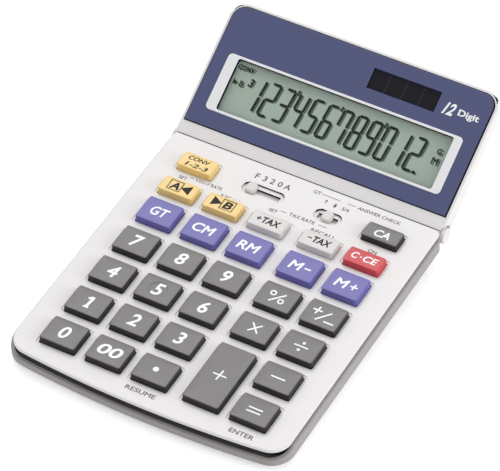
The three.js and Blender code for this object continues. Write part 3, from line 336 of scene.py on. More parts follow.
class StageSettings(bpy.types.PropertyGroup):
    """Camera and light"""

    focal: bpy.props.FloatProperty(
        name="Focal length", description="The lens, in millimetres", default=262.35, min=1
    )
    distance: length("Distance", "From the camera to the calculator", 1370.2)
    azimuth: angle("Azimuth", "The camera's turn round the calculator", 29.22)
    elevation: angle("Elevation", "The camera's height over the horizon", 43.82)
    target: bpy.props.FloatVectorProperty(
        name="Target", description="The point that the camera looks at", subtype="TRANSLATION",
        unit="LENGTH", default=(-0.00206, -0.0019, 0.02)
    )
    fill: bpy.props.FloatProperty(
        name="Fill light", description="Strength of the light from all sides", default=0.76, min=0
    )
    softbox: bpy.props.FloatProperty(
        name="Softbox", description="Power of the softbox behind the display, in watts", default=40.0, min=0
    )
    side: bpy.props.FloatProperty(
        name="Side light", description="Power of the weak light at the right, in watts", default=5.0, min=0
    )


GROUPS = {
    "calculator_keys": KeySizes,
    "calculator_cover": CoverSizes,
    "calculator_case": CaseSizes,
    "calculator_bay": BaySizes,
    "calculator_screws": ScrewSizes,
    "calculator_display": DisplaySizes,
    "calculator_finishes": Finishes,
    "calculator_stage": StageSettings,
}


def millimetres(group):
    """The sizes of a group, its lengths in millimetres."""
    sizes = {}
    for name, item in group.bl_rna.properties.items():
        if item.type == "FLOAT":
            sizes[name] = getattr(group, name) / (1 if item.unit == "ROTATION" else MM)
    return SimpleNamespace(**sizes)


def joint(name):
    """A joint of the frame."""
    return next(item for item in frame["joints"] if item["name"] == name)


PRESS_AXIS = joint("key_7_press")["axis"]
HINGE_PLACE = Vector(joint("display_tilt")["pos_m"])
KEYBOARD_TILT = math.atan2(PRESS_AXIS[1], -PRESS_AXIS[2])

ROWS = {
    "top": ("convert", None, None, None, "clear_all"),
    "rate": ("rate_a", "rate_b", "tax_plus", "tax_minus", "clear"),
    "memory": ("grand_total", "memory_clear", "memory_recall", "memory_minus", "memory_plus"),
    "seven": ("7", "8", "9", "percent", "sign"),
    "four": ("4", "5", "6", "multiply", "divide"),
    "one": ("1", "2", "3", "plus", "minus"),
    "zero": ("0", "double_zero", "point", None, "equals"),
}
COLUMNS = 5
OPERATORS_FROM = 3


def measures():
    """Every size in millimetres: the user's values and those worked out from them."""
    groups = ("keys", "cover", "case", "bay", "screws", "display")
    key, cover, case, bay, screw, screen = (
        millimetres(getattr(bpy.context.scene, "calculator_" + name)) for name in groups
    )
    field = (COLUMNS - 1) * key.column_spacing + key.operator_gap
    key.columns = [
        i * key.column_spacing + (key.operator_gap if i >= OPERATORS_FROM else 0) - field / 2
        for i in range(COLUMNS)
    ]
    key.rows = {
        "top": key.row_spacing + 2 * key.small_row_spacing,
        "rate": key.row_spacing + key.small_row_spacing,
        "memory": key.row_spacing,
        "seven": 0,
        "four": -key.row_spacing,
        "one": -2 * key.row_spacing,
        "zero": -3 * key.row_spacing,
    }
    key.flange_top = -cover.thickness - CLEARANCE
    key.foot = key.flange_top - key.flange
    key.tall_depth = key.hole_depth + key.row_spacing
    cover.half = field / 2 + key.hole_width / 2 + cover.side_margin
    cover.front = key.rows["zero"] - key.hole_depth / 2 - cover.front_margin
    cover.rear = key.rows["top"] + key.small_hole_depth / 2 + cover.rear_margin
    cover.bow_radius = (cover.half**2 + cover.bow**2) / (2 * cover.bow)
    case.half = cover.half + cover.proud
    case.front = cover.front - cover.proud
    case.rim_top = -cover.thickness - CLEARANCE
    case.rim_foot = case.rim_top - case.rim
    screen.hinge_y = cover.rear + screen.setback
    screen.hinge_z = -screen.barrel
    case.rear = screen.hinge_y - screen.barrel - case.hinge_gap
    screen.half = case.half - screen.edge
    screen.face = screen.barrel
    screen.panel_half = screen.half - screen.rim
    screen.panel_corner = screen.corner - screen.rim
    screen.panel_foot = screen.strip
    screen.window_low = screen.panel_foot + screen.window_foot
    screen.window_high = screen.window_low + screen.window_length
    screen.window_middle = (screen.window_low + screen.window_high) / 2
    screen.window_half = screen.panel_half - screen.window_side
    screen.solar_left = screen.solar_centre - screen.solar_width / 2
    screen.solar_right = screen.solar_centre + screen.solar_width / 2
    screen.solar_low = screen.window_high + screen.solar_gap
    screen.solar_high = screen.solar_low + screen.solar_length
    screen.panel_top = screen.solar_high + screen.solar_margin + screen.groove
    screen.length = screen.panel_top + screen.rim
    screen.panel_high = screen.face + screen.proud
    screen.panel_low = screen.panel_high - screen.panel
    screen.glass_high = screen.panel_low - CLEARANCE
    screen.glass_low = screen.glass_high - screen.glass
    screen.back_slope = (2 * screen.barrel - screen.top_thickness) / screen.length
    board_top = key.foot - key.travel - 2 * CLEARANCE - case.sheet
    board_foot = board_top - case.board
    screw.top = board_foot - 3 * CLEARANCE - screw.web
    screw.boss = screw.head + CLEARANCE + screw.boss_wall
    hinge = Vector((0, screen.hinge_y, screen.hinge_z))
    deck_height = HINGE_PLACE.z / MM - (Matrix.Rotation(KEYBOARD_TILT, 3, "X") @ hinge).z
    across = cover.half - cover.skirt_thickness - case.board_side - 2 * case.pad
    front = cover.front + cover.bow + case.board_front
    rear = case.rear - case.wall - CLEARANCE - cover.skirt_thickness - case.board_rear
    along = (front + 2 * case.pad, (front + rear) / 2, rear - 2 * case.pad)
    case.pads = [(side * across, y) for side in (-1, 1) for y in along]
    case.feet = {}
    for end, y in (("front", case.front + case.foot_front), ("rear", case.rear - case.foot_rear)):
        case.feet[f"foot_{end}_left"] = (case.foot_side - case.half, y)
        case.feet[f"foot_{end}_right"] = (case.half - case.foot_side, y)
    case.lug_right = case.half - screen.cap_thickness - screen.ear - CLEARANCE
    case.lug_left = case.lug_right - case.lug_width
    screen.cap_inner = case.lug_right + CLEARANCE + screen.ear
    bay.left = bay.cell_x - bay.cell - bay.ledge - CLEARANCE - bay.contact
    bay.screw_x = bay.cell_x + bay.cell + bay.screw_web + screw.boss
    bay.right = bay.screw_x + screw.boss + CLEARANCE
    bay.front = bay.cell_y - bay.door_depth / 2
    bay.rear = bay.cell_y + bay.door_depth / 2
    bay.boss = screw.head_height + 2 * CLEARANCE + screw.web
    return SimpleNamespace(
        key=key,
        cover=cover,
        case=case,
        bay=bay,
        screw=screw,
        screen=screen,
        board_top=board_top,
        board_foot=board_foot,
        deck_height=deck_height,
    )


def deck_matrix(m):
    """From the keyboard's own frame, in millimetres, to the table's, in metres."""
    hinge = Vector((0, m.screen.hinge_y, m.screen.hinge_z))
    turn = Matrix.Rotation(KEYBOARD_TILT, 4, "X")
    return Matrix.Translation(HINGE_PLACE) @ turn @ Matrix.Scale(MM, 4) @ Matrix.Translation(-hinge)


def level_matrix(m):
    """From a level frame with the keyboard's origin, in millimetres, to the table's, in metres."""
    return deck_matrix(m) @ Matrix.Rotation(-KEYBOARD_TILT, 4, "X")


def display_matrix(m):
    """From the display's own frame, in millimetres, to the table's, in metres."""
    turn = Matrix.Rotation(KEYBOARD_TILT + m.screen.tilt, 4, "X")
    return Matrix.Translation(HINGE_PLACE) @ turn @ Matrix.Scale(MM, 4)


def activate(obj):
    """Make one object the only selected one."""
    bpy.ops.object.select_all(action="DESELECT")
    obj.select_set(True)
    bpy.context.view_layer.objects.active = obj


def settle(obj):
    """Apply an object's place, turn and scale to its shape."""
    activate(obj)
    bpy.ops.object.transform_apply(location=True, rotation=True, scale=True)
    return obj


@contextmanager
def editing(obj, kind="FACE", whole=False):
    """Edit mode on one object, with nothing or everything selected at first."""
    activate(obj)
    bpy.ops.object.mode_set(mode="EDIT")
    bpy.ops.mesh.select_mode(type=kind)
    bpy.ops.mesh.select_all(action="DESELECT")
    if whole:
        bpy.ops.mesh.select_all(action="SELECT")
    yield
    bpy.ops.object.mode_set(mode="OBJECT")


def pick(kind, test):
    """Select the faces or edges of the mesh being edited that pass a test."""
    mesh = bmesh.from_edit_mesh(bpy.context.edit_object.data)
    mesh.normal_update()
    for item in getattr(mesh, kind):
        if test(item):
            item.select_set(True)
    bmesh.update_edit_mesh(bpy.context.edit_object.data)


def middle(edge):
    """The middle of an edge."""
    return (edge.verts[0].co + edge.verts[1].co) / 2


def at(face):
    """The middle of a face."""
    return face.calc_center_median()


def upright(edge):
    """True for an edge that stands straight up."""
    way = edge.verts[1].co - edge.verts[0].co
    return abs(way.z) > FLAT * way.length


def ends_at(axis, spot):
    """A test for edges with both ends at one spot along an axis."""
    return lambda edge: all(abs(v.co[axis] - spot) < NEAR for v in edge.verts)


def rim_at(height):
    """A test for the edges of a flat top at a height, where it turns down."""
    level = ends_at(Z, height)
    return lambda edge: level(edge) and any(abs(f.normal.z) < FLAT for f in edge.link_faces)


def round_edges(obj, test, radius, steps=EDGE_STEPS):
    """Round the edges that pass a test."""
    with editing(obj, "EDGE"):
        pick("edges", test)
        bpy.ops.mesh.bevel(offset=radius, segments=steps, profile=0.5, clamp_overlap=True)


def merge_close(obj):
    """Make one point of points that all but meet."""
    with editing(obj, "VERT", whole=True):
        bpy.ops.mesh.remove_doubles(threshold=NEAR)
    return obj


def slice_off(obj, point, normal, drop="clear_outer", fill=True):
    """Take away what lies on one side of a plane."""
    with editing(obj, whole=True):
        bpy.ops.mesh.bisect(plane_co=point, plane_no=normal, use_fill=fill, **{drop: True})
    return obj


def block(low, high):
    """A block between two corners."""
    size = [b - a for a, b in zip(low, high)]
    centre = [(a + b) / 2 for a, b in zip(low, high)]
    bpy.ops.mesh.primitive_cube_add(size=1, location=centre, scale=size)
    return settle(bpy.context.object)


def rounded_block(low, high, radius, steps=SOFT_STEPS):
    """A block whose upright edges are round."""
    obj = block(low, high)
    round_edges(obj, upright, radius, steps)
    return obj


def rod(start, end, radius, sides):
    """A round bar between two points on a line along one axis."""
    start, end = Vector(start), Vector(end)
    turn = (end - start).to_track_quat("Z", "Y").to_euler()
    bpy.ops.mesh.primitive_cylinder_add(
        vertices=sides, radius=radius, depth=(end - start).length, location=(start + end) / 2, rotation=turn
    )
    return settle(bpy.context.object)


def post(x, y, low, high, radius, sides):
    """An upright round bar."""
    return rod((x, y, low), (x, y, high), radius, sides)


def posts(places, low, high, radius, sides):
    """Upright round bars at several places."""
    return [post(x, y, low, high, radius, sides) for x, y in places]


def either_side(near, far):
    """The left and right ends, at either side, of what lies between two distances from the middle."""
    return [sorted((side * near, side * far)) for side in (-1, 1)]


def hinge_rods(near, far, radius, sides, y=0, z=0):
    """A round bar along the hinge at either side, between two distances from the middle."""
    return [rod((left, y, z), (right, y, z), radius, sides) for left, right in either_side(near, far)]


def join(objects):
    """Join several objects into the first."""
    activate(objects[0])
    for obj in objects:
        obj.select_set(True)
    bpy.ops.object.join()
    return objects[0]


def modify(obj, kind, **settings):
    """Add a modifier to an object and apply it."""
    activate(obj)
    bpy.ops.object.modifier_add(type=kind)
    modifier = obj.modifiers[-1]
    for name, value in settings.items():
        setattr(modifier, name, value)
    bpy.ops.object.modifier_apply(modifier=modifier.name)
    return obj


def combine(obj, tools, operation):
    """Cut tools out of an object, or weld them on, and put them away."""
    for tool in tools:
        modify(obj, "BOOLEAN", operation=operation, solver="EXACT", object=tool)
        bpy.data.objects.remove(tool, do_unlink=True)
    return obj


def cut(obj, *tools):
    """Cut tools out of an object."""
    return combine(obj, tools, "DIFFERENCE")


def weld(obj, *others):
    """Weld other solids onto an object."""
    return combine(obj, others, "UNION")


def duplicate(obj):
    """A copy of an object with its own mesh."""
    activate(obj)
    bpy.ops.object.duplicate(linked=False)
    return bpy.context.object


def place(obj, matrix):
    """Put a shape modelled in its own frame at its place on the table, with its object at the origin."""
    activate(obj)
    obj.matrix_world = matrix @ obj.matrix_world
    return settle(obj)


def finish_piece(obj, name, matrix, body, nodes=()):
    """Name a finished shape, put it in place, shade it and hang it on its body."""
    obj.name = name
    obj.data.name = name
    place(obj, matrix)
    bpy.ops.object.shade_smooth_by_angle(angle=SMOOTH_BELOW)
    modify(obj, "WEIGHTED_NORMAL", keep_sharp=True)
    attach(obj, body)
    if nodes:
        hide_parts(*nodes)
    return obj


def paint(obj, *materials):
    """Give an object its materials."""
    obj.data.materials.clear()
    for material in materials:
        obj.data.materials.append(material)
    return obj


def use_second(obj, test):
    """Give the faces that pass a test the object's second material."""
    with editing(obj):
        pick("faces", test)
        obj.active_material_index = 1
        bpy.ops.object.material_slot_assign()


def surface(
    name, rgb, roughness, specular=0.5, metallic=0.0, drift=0.05, grain=0.0, cloud=18.0, grain_size=0.3
):
    """A finish whose colour and gloss drift a little, with a fine grain that breaks its sheen."""
    found = bpy.data.materials.get(name)
    if found:
        return found
    material = bpy.data.materials.new(name)
    material.use_nodes = True
    nodes = material.node_tree.nodes
    links = material.node_tree.links
    shader = nodes["Principled BSDF"]
    shader.inputs["Specular IOR Level"].default_value = specular
    shader.inputs["Metallic"].default_value = metallic
    where = nodes.new("ShaderNodeTexCoord")
    clouds = nodes.new("ShaderNodeTexNoise")
    clouds.inputs["Scale"].default_value = 1 / (cloud * MM)
    clouds.inputs["Detail"].default_value = CLOUD_DETAIL
    tint = nodes.new("ShaderNodeValToRGB")
    tint.color_ramp.elements[0].color = [c * (1 - drift) for c in rgb] + [1]
    tint.color_ramp.elements[1].color = [min(1, c * (1 + drift)) for c in rgb] + [1]
    sheen = nodes.new("ShaderNodeMapRange")
    sheen.inputs["To Min"].default_value = roughness * (1 - drift)
    sheen.inputs["To Max"].default_value = min(1, roughness * (1 + drift))
    links.new(where.outputs["Object"], clouds.inputs["Vector"])
    links.new(clouds.outputs["Fac"], tint.inputs["Fac"])
    links.new(clouds.outputs["Fac"], sheen.inputs["Value"])
    links.new(tint.outputs["Color"], shader.inputs["Base Color"])
    links.new(sheen.outputs["Result"], shader.inputs["Roughness"])
    if grain:
        speckle = nodes.new("ShaderNodeTexNoise")
        speckle.inputs["Scale"].default_value = 1 / (grain_size * MM)
        speckle.inputs["Detail"].default_value = GRAIN_DETAIL
        bump = nodes.new("ShaderNodeBump")
        bump.inputs["Strength"].default_value = grain
        bump.inputs["Distance"].default_value = grain_size * MM / GRAIN_FLATNESS
        links.new(where.outputs["Object"], speckle.inputs["Vector"])
        links.new(speckle.outputs["Fac"], bump.inputs["Height"])
        links.new(bump.outputs["Normal"], shader.inputs["Normal"])
    return material


def finishes():
    """The finishes of all the pieces."""
    tone = bpy.context.scene.calculator_finishes
    return SimpleNamespace(
        silver=surface("silver paint", tone.silver, 0.55, 0.35, 0, 0.015, 0.15, 40),
        case=surface("moulded case", tone.case, 0.55, 0.4, 0, 0.03, 0.4, 25, 0.4),
        grey=surface("grey keycap", tone.grey, 0.36, 0.62, 0, 0.06, 0.3, 12, 0.25),
        # The grey keycap's sides: a darker copy of its plastic, painted shade
        grey_shaded_side=surface("grey keycap side", tone.grey_shaded_side, 0.4, 0.3, 0, 0.06, 0.1, 12, 0.25),
        violet=surface("violet keycap", tone.violet, 0.45, 0.7, 0, 0.04, 0.3, 12, 0.25),
        yellow=surface("yellow keycap", tone.yellow, 0.45, 0.7, 0, 0.03, 0.3, 12, 0.25),
        pale=surface("pale keycap", tone.pale, 0.45, 0.6, 0, 0.02, 0.3, 12, 0.25),
        red=surface("red keycap", tone.red, 0.45, 0.5, 0, 0.04, 0.3, 12, 0.25),
        blue=surface("blue panel", tone.blue, 0.3, 0.6, 0, 0.05, 0.05, 30),
        white=surface("white frame", tone.white, 0.35, 0.5, 0, 0.015, 0.1, 20),
        knob=surface("slide knob", tone.knob, 0.5, 0.5, 0, 0.02, 0.2, 12, 0.25),
        # Painted shade: a near-black finish put where shade falls in recesses, gaps and grooves
        dark=surface("dark recess", tone.solar, 0.8, 0.05, 0, 0.1),
        legend=surface("white lettering", tone.legend, 0.5, 0.4, 0, 0.01),
        ink=surface("dark lettering", tone.ink, 0.6, 0.2, 0, 0.05),
        print=surface("grey print", tone.print, 0.6, 0.3, 0, 0.05),
        crystal=surface("crystal glass", tone.crystal, 0.3, 0.4, 0, 0.06, 0.0, 50),
        digit=surface("crystal digit", tone.digit, 0.6, 0.05, 0, 0.05),
        solar=surface("solar cell", tone.solar, 0.25, 0.2, 0, 0.2, 0.0, 6),
        rubber=surface("foot rubber", tone.rubber, 0.85, 0.3, 0, 0.1, 0.5, 8, 0.5),
        membrane=surface("membrane rubber", tone.membrane, 0.75, 0.4, 0, 0.04, 0.2, 15),
        board=surface("circuit board", tone.board, 0.5, 0.5, 0, 0.08, 0.1, 5),
        steel=surface("plated steel", tone.steel, 0.35, 0.5, 1, 0.06, 0.2, 3, 0.15),
        solar_line=surface("solar line", tone.solar_line, 0.4, 0.2, 0, 0.05),
        pane=see_through("clear window", tone.crystal, 0.03, 0.05, 0.2),
        shade=see_through("digit shade", tone.digit, 0.28, 0.6, 0.05),
    )


def see_through(name, rgb, alpha, roughness, specular):
    """A clear or shaded layer that lets the surface behind it show."""
    material = surface(name, rgb, roughness, specular, 0, 0.02)
    material.node_tree.nodes["Principled BSDF"].inputs["Alpha"].default_value = alpha
    return material


def lettering(words, centre, width=None, height=None, slant=0.0, weight=0.0):
    """Flat lettering fitted to a width, a height or both, as a mesh; its weight fattens the strokes."""
    bpy.ops.object.text_add()
    text = bpy.context.object
    text.data.body = words
    text.data.shear = slant
    text.data.bevel_depth = weight
    text.data.bevel_resolution = 0
    text.data.resolution_u = LETTER_STEPS
    bpy.ops.object.convert(target="MESH")
    obj = bpy.context.object
    if weight:
        slice_off(obj, (0, 0, 0), (0, 0, 1), "clear_inner", fill=False)
    corners = [v.co for v in obj.data.vertices]
    low = [min(c[i] for c in corners) for i in (X, Y)]
    high = [max(c[i] for c in corners) for i in (X, Y)]
    tall = height / (high[Y] - low[Y]) if height else width / (high[X] - low[X])
    wide = width / (high[X] - low[X]) if width else tall
    obj.scale = (wide, tall, 1)
    obj.location = (
        centre[X] - wide * (low[X] + high[X]) / 2,
        centre[Y] - tall * (low[Y] + high[Y]) / 2,
        centre[Z],
    )
    return settle(obj)


def flat_shape(corners, centre, turn, size):
    """A flat shape of some corners, turned and stretched to its size, facing up."""
    bpy.ops.mesh.primitive_circle_add(
        vertices=corners, radius=0.5, fill_type="NGON", location=centre, rotation=(0, 0, turn)
    )
    obj = bpy.context.object
    obj.scale = (*size, 1)
    settle(obj)
    with editing(obj):
        pick("faces", lambda f: f.normal.z < 0)
        bpy.ops.mesh.flip_normals()
    return obj


def stripe(start, end, width, height):
    """A flat bar between two points."""
    way = Vector(end) - Vector(start)
    bpy.ops.mesh.primitive_plane_add(
        size=1,
        location=((start[X] + end[X]) / 2, (start[Y] + end[Y]) / 2, height),
        rotation=(0, 0, math.atan2(way.y, way.x)),
    )
    obj = bpy.context.object
    obj.scale = (way.length, width, 1)
    return settle(obj)


def hollow_out(obj, width):
    """Leave only a band of a flat shape along its edge."""
    with editing(obj, whole=True):
        bpy.ops.mesh.inset(thickness=width, depth=0)
        bpy.ops.mesh.delete(type="FACE")
    return obj


def draw_words(unit, height, words, x, y, wide, tall, slant=0.0, weight=0.0):
    """Lettering in a box round a point; a size of nothing follows the other one."""
    centre = (x * unit, y * unit, height)
    return lettering(words, centre, wide and wide * unit, tall and tall * unit, slant, weight)


def draw_bar(unit, height, x1, y1, x2, y2, stroke):
    """A straight stroke."""
    return stripe((x1 * unit, y1 * unit), (x2 * unit, y2 * unit), stroke * unit, height)


def draw_dot(unit, height, x, y, radius):
    """A round dot."""
    return flat_shape(POST_SIDES, (x * unit, y * unit, height), 0, (2 * radius * unit, 2 * radius * unit))


def draw_ring(unit, height, x, y, radius, stroke):
    """A round ring."""
    return hollow_out(draw_dot(unit, height, x, y, radius), stroke * unit)


def draw_arrow(unit, height, x, y, size, turn):
    """A triangle that points to a side."""
    return flat_shape(3, (x * unit, y * unit, height), math.radians(turn), (size * unit, size * unit))


def draw_frame(unit, height, x, y, wide, tall, stroke):
    """A rectangle's outline."""
    left, right = (x - wide / 2) * unit, (x + wide / 2) * unit
    return hollow_out(stripe((left, y * unit), (right, y * unit), tall * unit, height), stroke * unit)


DRAWING = {
    "words": draw_words,
    "bar": draw_bar,
    "dot": draw_dot,
    "ring": draw_ring,
    "arrow": draw_arrow,
    "frame": draw_frame,
}


def draw(marks, unit, height):
    """Flat marks from a list, with places and sizes as shares of a unit, joined into one."""
    return join([DRAWING[kind](unit, height, *values) for kind, *values in marks])


def lay_on(mark, target, lift):
    """Lay a flat mark on a surface below it and give it the thickness of a print."""
    modify(
        mark,
        "SHRINKWRAP",
        wrap_method="PROJECT",
        use_project_z=True,
        use_negative_direction=True,
        use_positive_direction=False,
        target=target,
        offset=lift,
    )
    return modify(mark, "SOLIDIFY", thickness=2 * lift, offset=-1)


def thicken(mark, thickness):
    """Give a flat mark a thickness upwards."""
    return modify(mark, "SOLIDIFY", thickness=thickness, offset=1)


KEY_CORNER_STEPS = 6
LEGEND_LIFT = 0.03
DISH_SHARES = ((0.93, 0.3), (0.8, 0.62), (0.55, 0.85), (0.25, 1.0))


def keycap(width, depth, key):
    """A hollow keycap with a stop flange, leaning sides, a round top edge and a shallow dish."""
    across, along = width / 2 + key.flange, depth / 2 + key.flange
    low, high = (-across, -along, key.foot), (across, along, key.flange_top)
    cap = rounded_block(low, high, key.corner + key.flange, KEY_CORNER_STEPS)
    with editing(cap):
        pick("faces", lambda f: f.normal.z > FLAT)
        bpy.ops.mesh.inset(thickness=key.flange, depth=0)
        bpy.ops.mesh.inset(thickness=0, depth=-key.flange_top)
        bpy.ops.mesh.inset(thickness=key.draft, depth=key.rise)
    round_edges(cap, rim_at(key.rise), key.edge)
    with editing(cap):
        pick("faces", lambda f: f.normal.z > FLAT and at(f).z > key.rise - NEAR)
        share, sunk = 1, 0
        for next_share, next_sunk in DISH_SHARES:
            drop = (0, 0, (sunk - next_sunk) * key.dish)
            bpy.ops.mesh.extrude_region_move(TRANSFORM_OT_translate={"value": drop})
            scale = next_share / share
            bpy.ops.transform.resize(value=(scale, scale, 1), center_override=(0, 0, key.rise))
            share, sunk = next_share, next_sunk
        bpy.ops.mesh.select_all(action="DESELECT")
        pick("faces", lambda f: f.normal.z < -FLAT and at(f).z < key.foot + NEAR)
        bpy.ops.mesh.inset(thickness=key.flange + key.draft + key.wall, depth=0)
        bpy.ops.mesh.inset(thickness=0, depth=key.foot - key.rise + key.dish + key.wall)
    return cap


def home_dish(cap, key):
    """Sink the round hollow that marks the middle key."""
    bpy.ops.mesh.primitive_uv_sphere_add(
        segments=CAP_SIDES, ring_count=CAP_SIDES // 2, radius=1, location=(0, 0, key.rise - key.dish)
    )
    bowl = bpy.context.object
    bowl.scale = (key.home_dish, key.home_dish, key.dish)
    return cut(cap, settle(bowl))


SLANT = 0.16
BOLD = 0.021
BOLDER = 0.03
BOLDEST = 0.035
THIN = 0.02
FAINT = 0.015


def digit_mark(digit):
    """The legend of a digit key."""
    if digit == "1":
        return (
            ("bar", 0.052, 0.2, 0.0, -0.2, 0.078),
            ("bar", 0.03, 0.185, -0.075, 0.105, 0.062),
            ("bar", -0.075, -0.172, 0.08, -0.172, 0.056),
        )
    return (("words", digit, 0, 0.015, None, 0.41, SLANT, BOLD),)


LEGENDS = {
    "grand_total": (("words", "GT", 0, 0, 0.5, 0.31, SLANT, BOLD),),
    "memory_clear": (("words", "CM", -0.02, 0.01, 0.62, 0.31, SLANT, BOLD),),
    "memory_recall": (("words", "RM", -0.025, 0, 0.62, 0.3, SLANT, BOLD),),
    "memory_minus": (
        ("words", "M", -0.12, 0, 0.37, 0.3, SLANT, BOLD),
        ("bar", 0.13, 0.0, 0.31, 0.0, 0.05),
    ),
    "memory_plus": (
        ("words", "M", -0.13, 0, 0.37, 0.3, SLANT, BOLD),
        ("bar", 0.12, 0.0, 0.33, 0.0, 0.045),
        ("bar", 0.24, 0.105, 0.21, -0.105, 0.045),
    ),
    "double_zero": (("words", "00", 0, 0.01, 0.67, 0.35, SLANT, BOLD),),
    "percent": (
        ("ring", -0.16, 0.085, 0.088, 0.04),
        ("ring", 0.14, -0.105, 0.088, 0.04),
        ("bar", -0.165, -0.205, 0.18, 0.15, 0.046),
    ),
    "sign": (
        ("bar", -0.34, 0.085, -0.08, 0.085, 0.046),
        ("bar", -0.19, 0.215, -0.23, -0.045, 0.046),
        ("bar", -0.14, -0.225, 0.17, 0.14, 0.046),
        ("bar", 0.09, -0.2, 0.37, -0.2, 0.046),
    ),
    "multiply": (
        ("bar", -0.13, -0.15, 0.15, 0.15, 0.044),
        ("bar", -0.12, 0.15, 0.14, -0.15, 0.044),
    ),
    "divide": (
        ("bar", -0.195, 0, 0.2, 0, 0.042),
        ("dot", 0.02, 0.125, 0.042),
        ("dot", -0.015, -0.13, 0.042),
    ),
    "minus": (("bar", -0.2, 0, 0.2, 0, 0.044),),
    "plus": (
        ("bar", -0.19, 0, 0.19, 0, 0.042),
        ("bar", 0.015, 0.175, -0.015, -0.175, 0.042),
    ),
    "equals": (
        ("bar", -0.19, 0.05, 0.2, 0.05, 0.042),
        ("bar", -0.2, -0.075, 0.19, -0.075, 0.042),
    ),
    "point": (("dot", -0.015, 0.025, 0.078),),
    "clear_all": (("words", "CA", 0, -0.02, 0.44, 0.25, SLANT, BOLD),),
    "clear": (
        ("words", "C", -0.28, 0.02, 0.19, 0.22, SLANT, BOLD),
        ("words", "CE", 0.16, 0.02, 0.4, 0.22, SLANT, BOLD),
        ("dot", -0.12, 0.02, 0.024),
    ),
    "tax_plus": (
        ("bar", -0.34, 0.02, -0.21, 0.02, 0.034),
        ("bar", -0.265, 0.09, -0.285, -0.05, 0.034),
        ("words", "TAX", 0.08, 0.02, 0.52, 0.22, SLANT, BOLDER),
    ),
    "tax_minus": (
        ("bar", -0.33, 0.02, -0.21, 0.02, 0.036),
        ("words", "TAX", 0.08, 0.02, 0.52, 0.22, SLANT, BOLDER),
    ),
    "rate_a": (
        ("frame", -0.12, 0.02, 0.38, 0.36, 0.022),
        ("words", "A", -0.12, 0.02, 0.28, 0.26, SLANT, BOLDEST),
        ("arrow", 0.24, 0.02, 0.38, 90),
    ),
    "rate_b": (
        ("frame", 0.12, 0.02, 0.38, 0.36, 0.022),
        ("words", "B", 0.12, 0.02, 0.25, 0.26, SLANT, BOLDEST),
        ("arrow", -0.24, 0.02, 0.38, -90),
    ),
    "convert": (
        ("words", "CONV", -0.02, 0.115, 0.62, 0.14, SLANT, THIN),
        ("words", "1-2-3", 0.02, -0.115, 0.66, 0.15, SLANT, THIN),
    ),
}
FAMILIES = {
    "violet": ROWS["memory"],
    "yellow": ("convert", "rate_a", "rate_b"),
    "pale": ("tax_plus", "tax_minus"),
    "red": ("clear",),
}
SMALL_ROWS = ("top", "rate")


def family_of(name):
    """The colour family of a key."""
    return next((family for family, members in FAMILIES.items() if name in members), "grey")


def key_places(key):
    """The name, the centre and the kind of every key, with the depths of the three kinds of hole."""
    depths = {"small": key.small_hole_depth, "large": key.hole_depth, "tall": key.tall_depth}
    places = []
    for row, names in ROWS.items():
        for column, name in enumerate(names):
            if name is not None:
                kind = "small" if row in SMALL_ROWS else "tall" if name == "plus" else "large"
                y = key.rows[row] - (key.row_spacing / 2 if kind == "tall" else 0)
                places.append((name, key.columns[column], y, kind))
    return places, depths


class CALCULATOR_OT_keys(bpy.types.Operator):
    """Model the thirty-one keycaps with their legends"""

    bl_idname = "calculator.keys"
    bl_label = "Keycaps"

    def execute(self, context):
        m = measures()
        key = m.key
        tone = finishes()
        width = key.hole_width - 2 * key.gap
        unit = width - 2 * key.draft
        places, depths = key_places(key)
        masters = {kind: keycap(width, hole - 2 * key.gap, key) for kind, hole in depths.items()}
        for name, x, y, kind in places:
            cap = duplicate(masters[kind])
            if name == "5":
                home_dish(cap, key)
            family = family_of(name)
            paint(cap, getattr(tone, family))
            # Painted shade: the grey keys' leaning sides take a darker copy of the tops' plastic
            if family == "grey":
                paint(cap, tone.grey, tone.grey_shaded_side)
                use_second(cap, lambda f: f.normal.z < LEANING)
            mark = draw(LEGENDS.get(name) or digit_mark(name), unit, key.rise + OVERRUN)
            lay_on(mark, cap, LEGEND_LIFT)
            paint(mark, tone.ink if family in ("yellow", "pale") else tone.legend)
            join([cap, mark])
            node = "key_" + name
            matrix = deck_matrix(m) @ Matrix.Translation((x, y, 0))
            finish_piece(cap, "keycap_" + name, matrix, node, [node])
        for master in masters.values():
            bpy.data.objects.remove(master, do_unlink=True)
        return {"FINISHED"}


def bowed_slab(m, half, front, rear, low, high, corner, steps=CORNER_STEPS):
    """A slab with the body's outline: straight sides and rear, a bowed front and round corners."""
    bow = m.cover.bow_radius + half - m.cover.half
    bpy.ops.mesh.primitive_cylinder_add(
        vertices=BOW_SIDES, radius=bow, depth=high - low, location=(0, front + bow, (low + high) / 2)
    )
    obj = settle(bpy.context.object)
    for point, normal in (((half, 0, 0), (1, 0, 0)), ((-half, 0, 0), (-1, 0, 0)), ((0, rear, 0), (0, 1, 0))):
        slice_off(obj, point, normal)
    merge_close(obj)
    near_corner = lambda e: half - corner - OVERRUN < abs(middle(e).x) < half - NEAR and middle(e).y < 0
    with editing(obj, "EDGE"):
        pick("edges", lambda e: upright(e) and near_corner(e))
        bpy.ops.mesh.dissolve_edges(use_verts=True)
    lean = half / bow
    tangent = corner * math.sqrt(1 - lean**2) / (1 + lean)
    at_side = lambda e: upright(e) and abs(middle(e).x) > half - NEAR
    round_edges(obj, lambda e: at_side(e) and middle(e).y < 0, tangent, steps)
    round_edges(obj, lambda e: at_side(e) and middle(e).y > 0, m.cover.rear_corner)
    return merge_close(obj)


def key_openings(m, grow, low, high):
    """Every key hole, grown by a margin, as one cutting tool."""
    key = m.key
    places, depths = key_places(key)
    across = key.hole_width / 2 + grow
    tools = []
    for _, x, y, kind in places:
        along = depths[kind] / 2 + grow
        corners = (x - across, y - along, low), (x + across, y + along, high)
        tools.append(rounded_block(*corners, key.corner + grow, KEY_CORNER_STEPS))
    return join(tools)


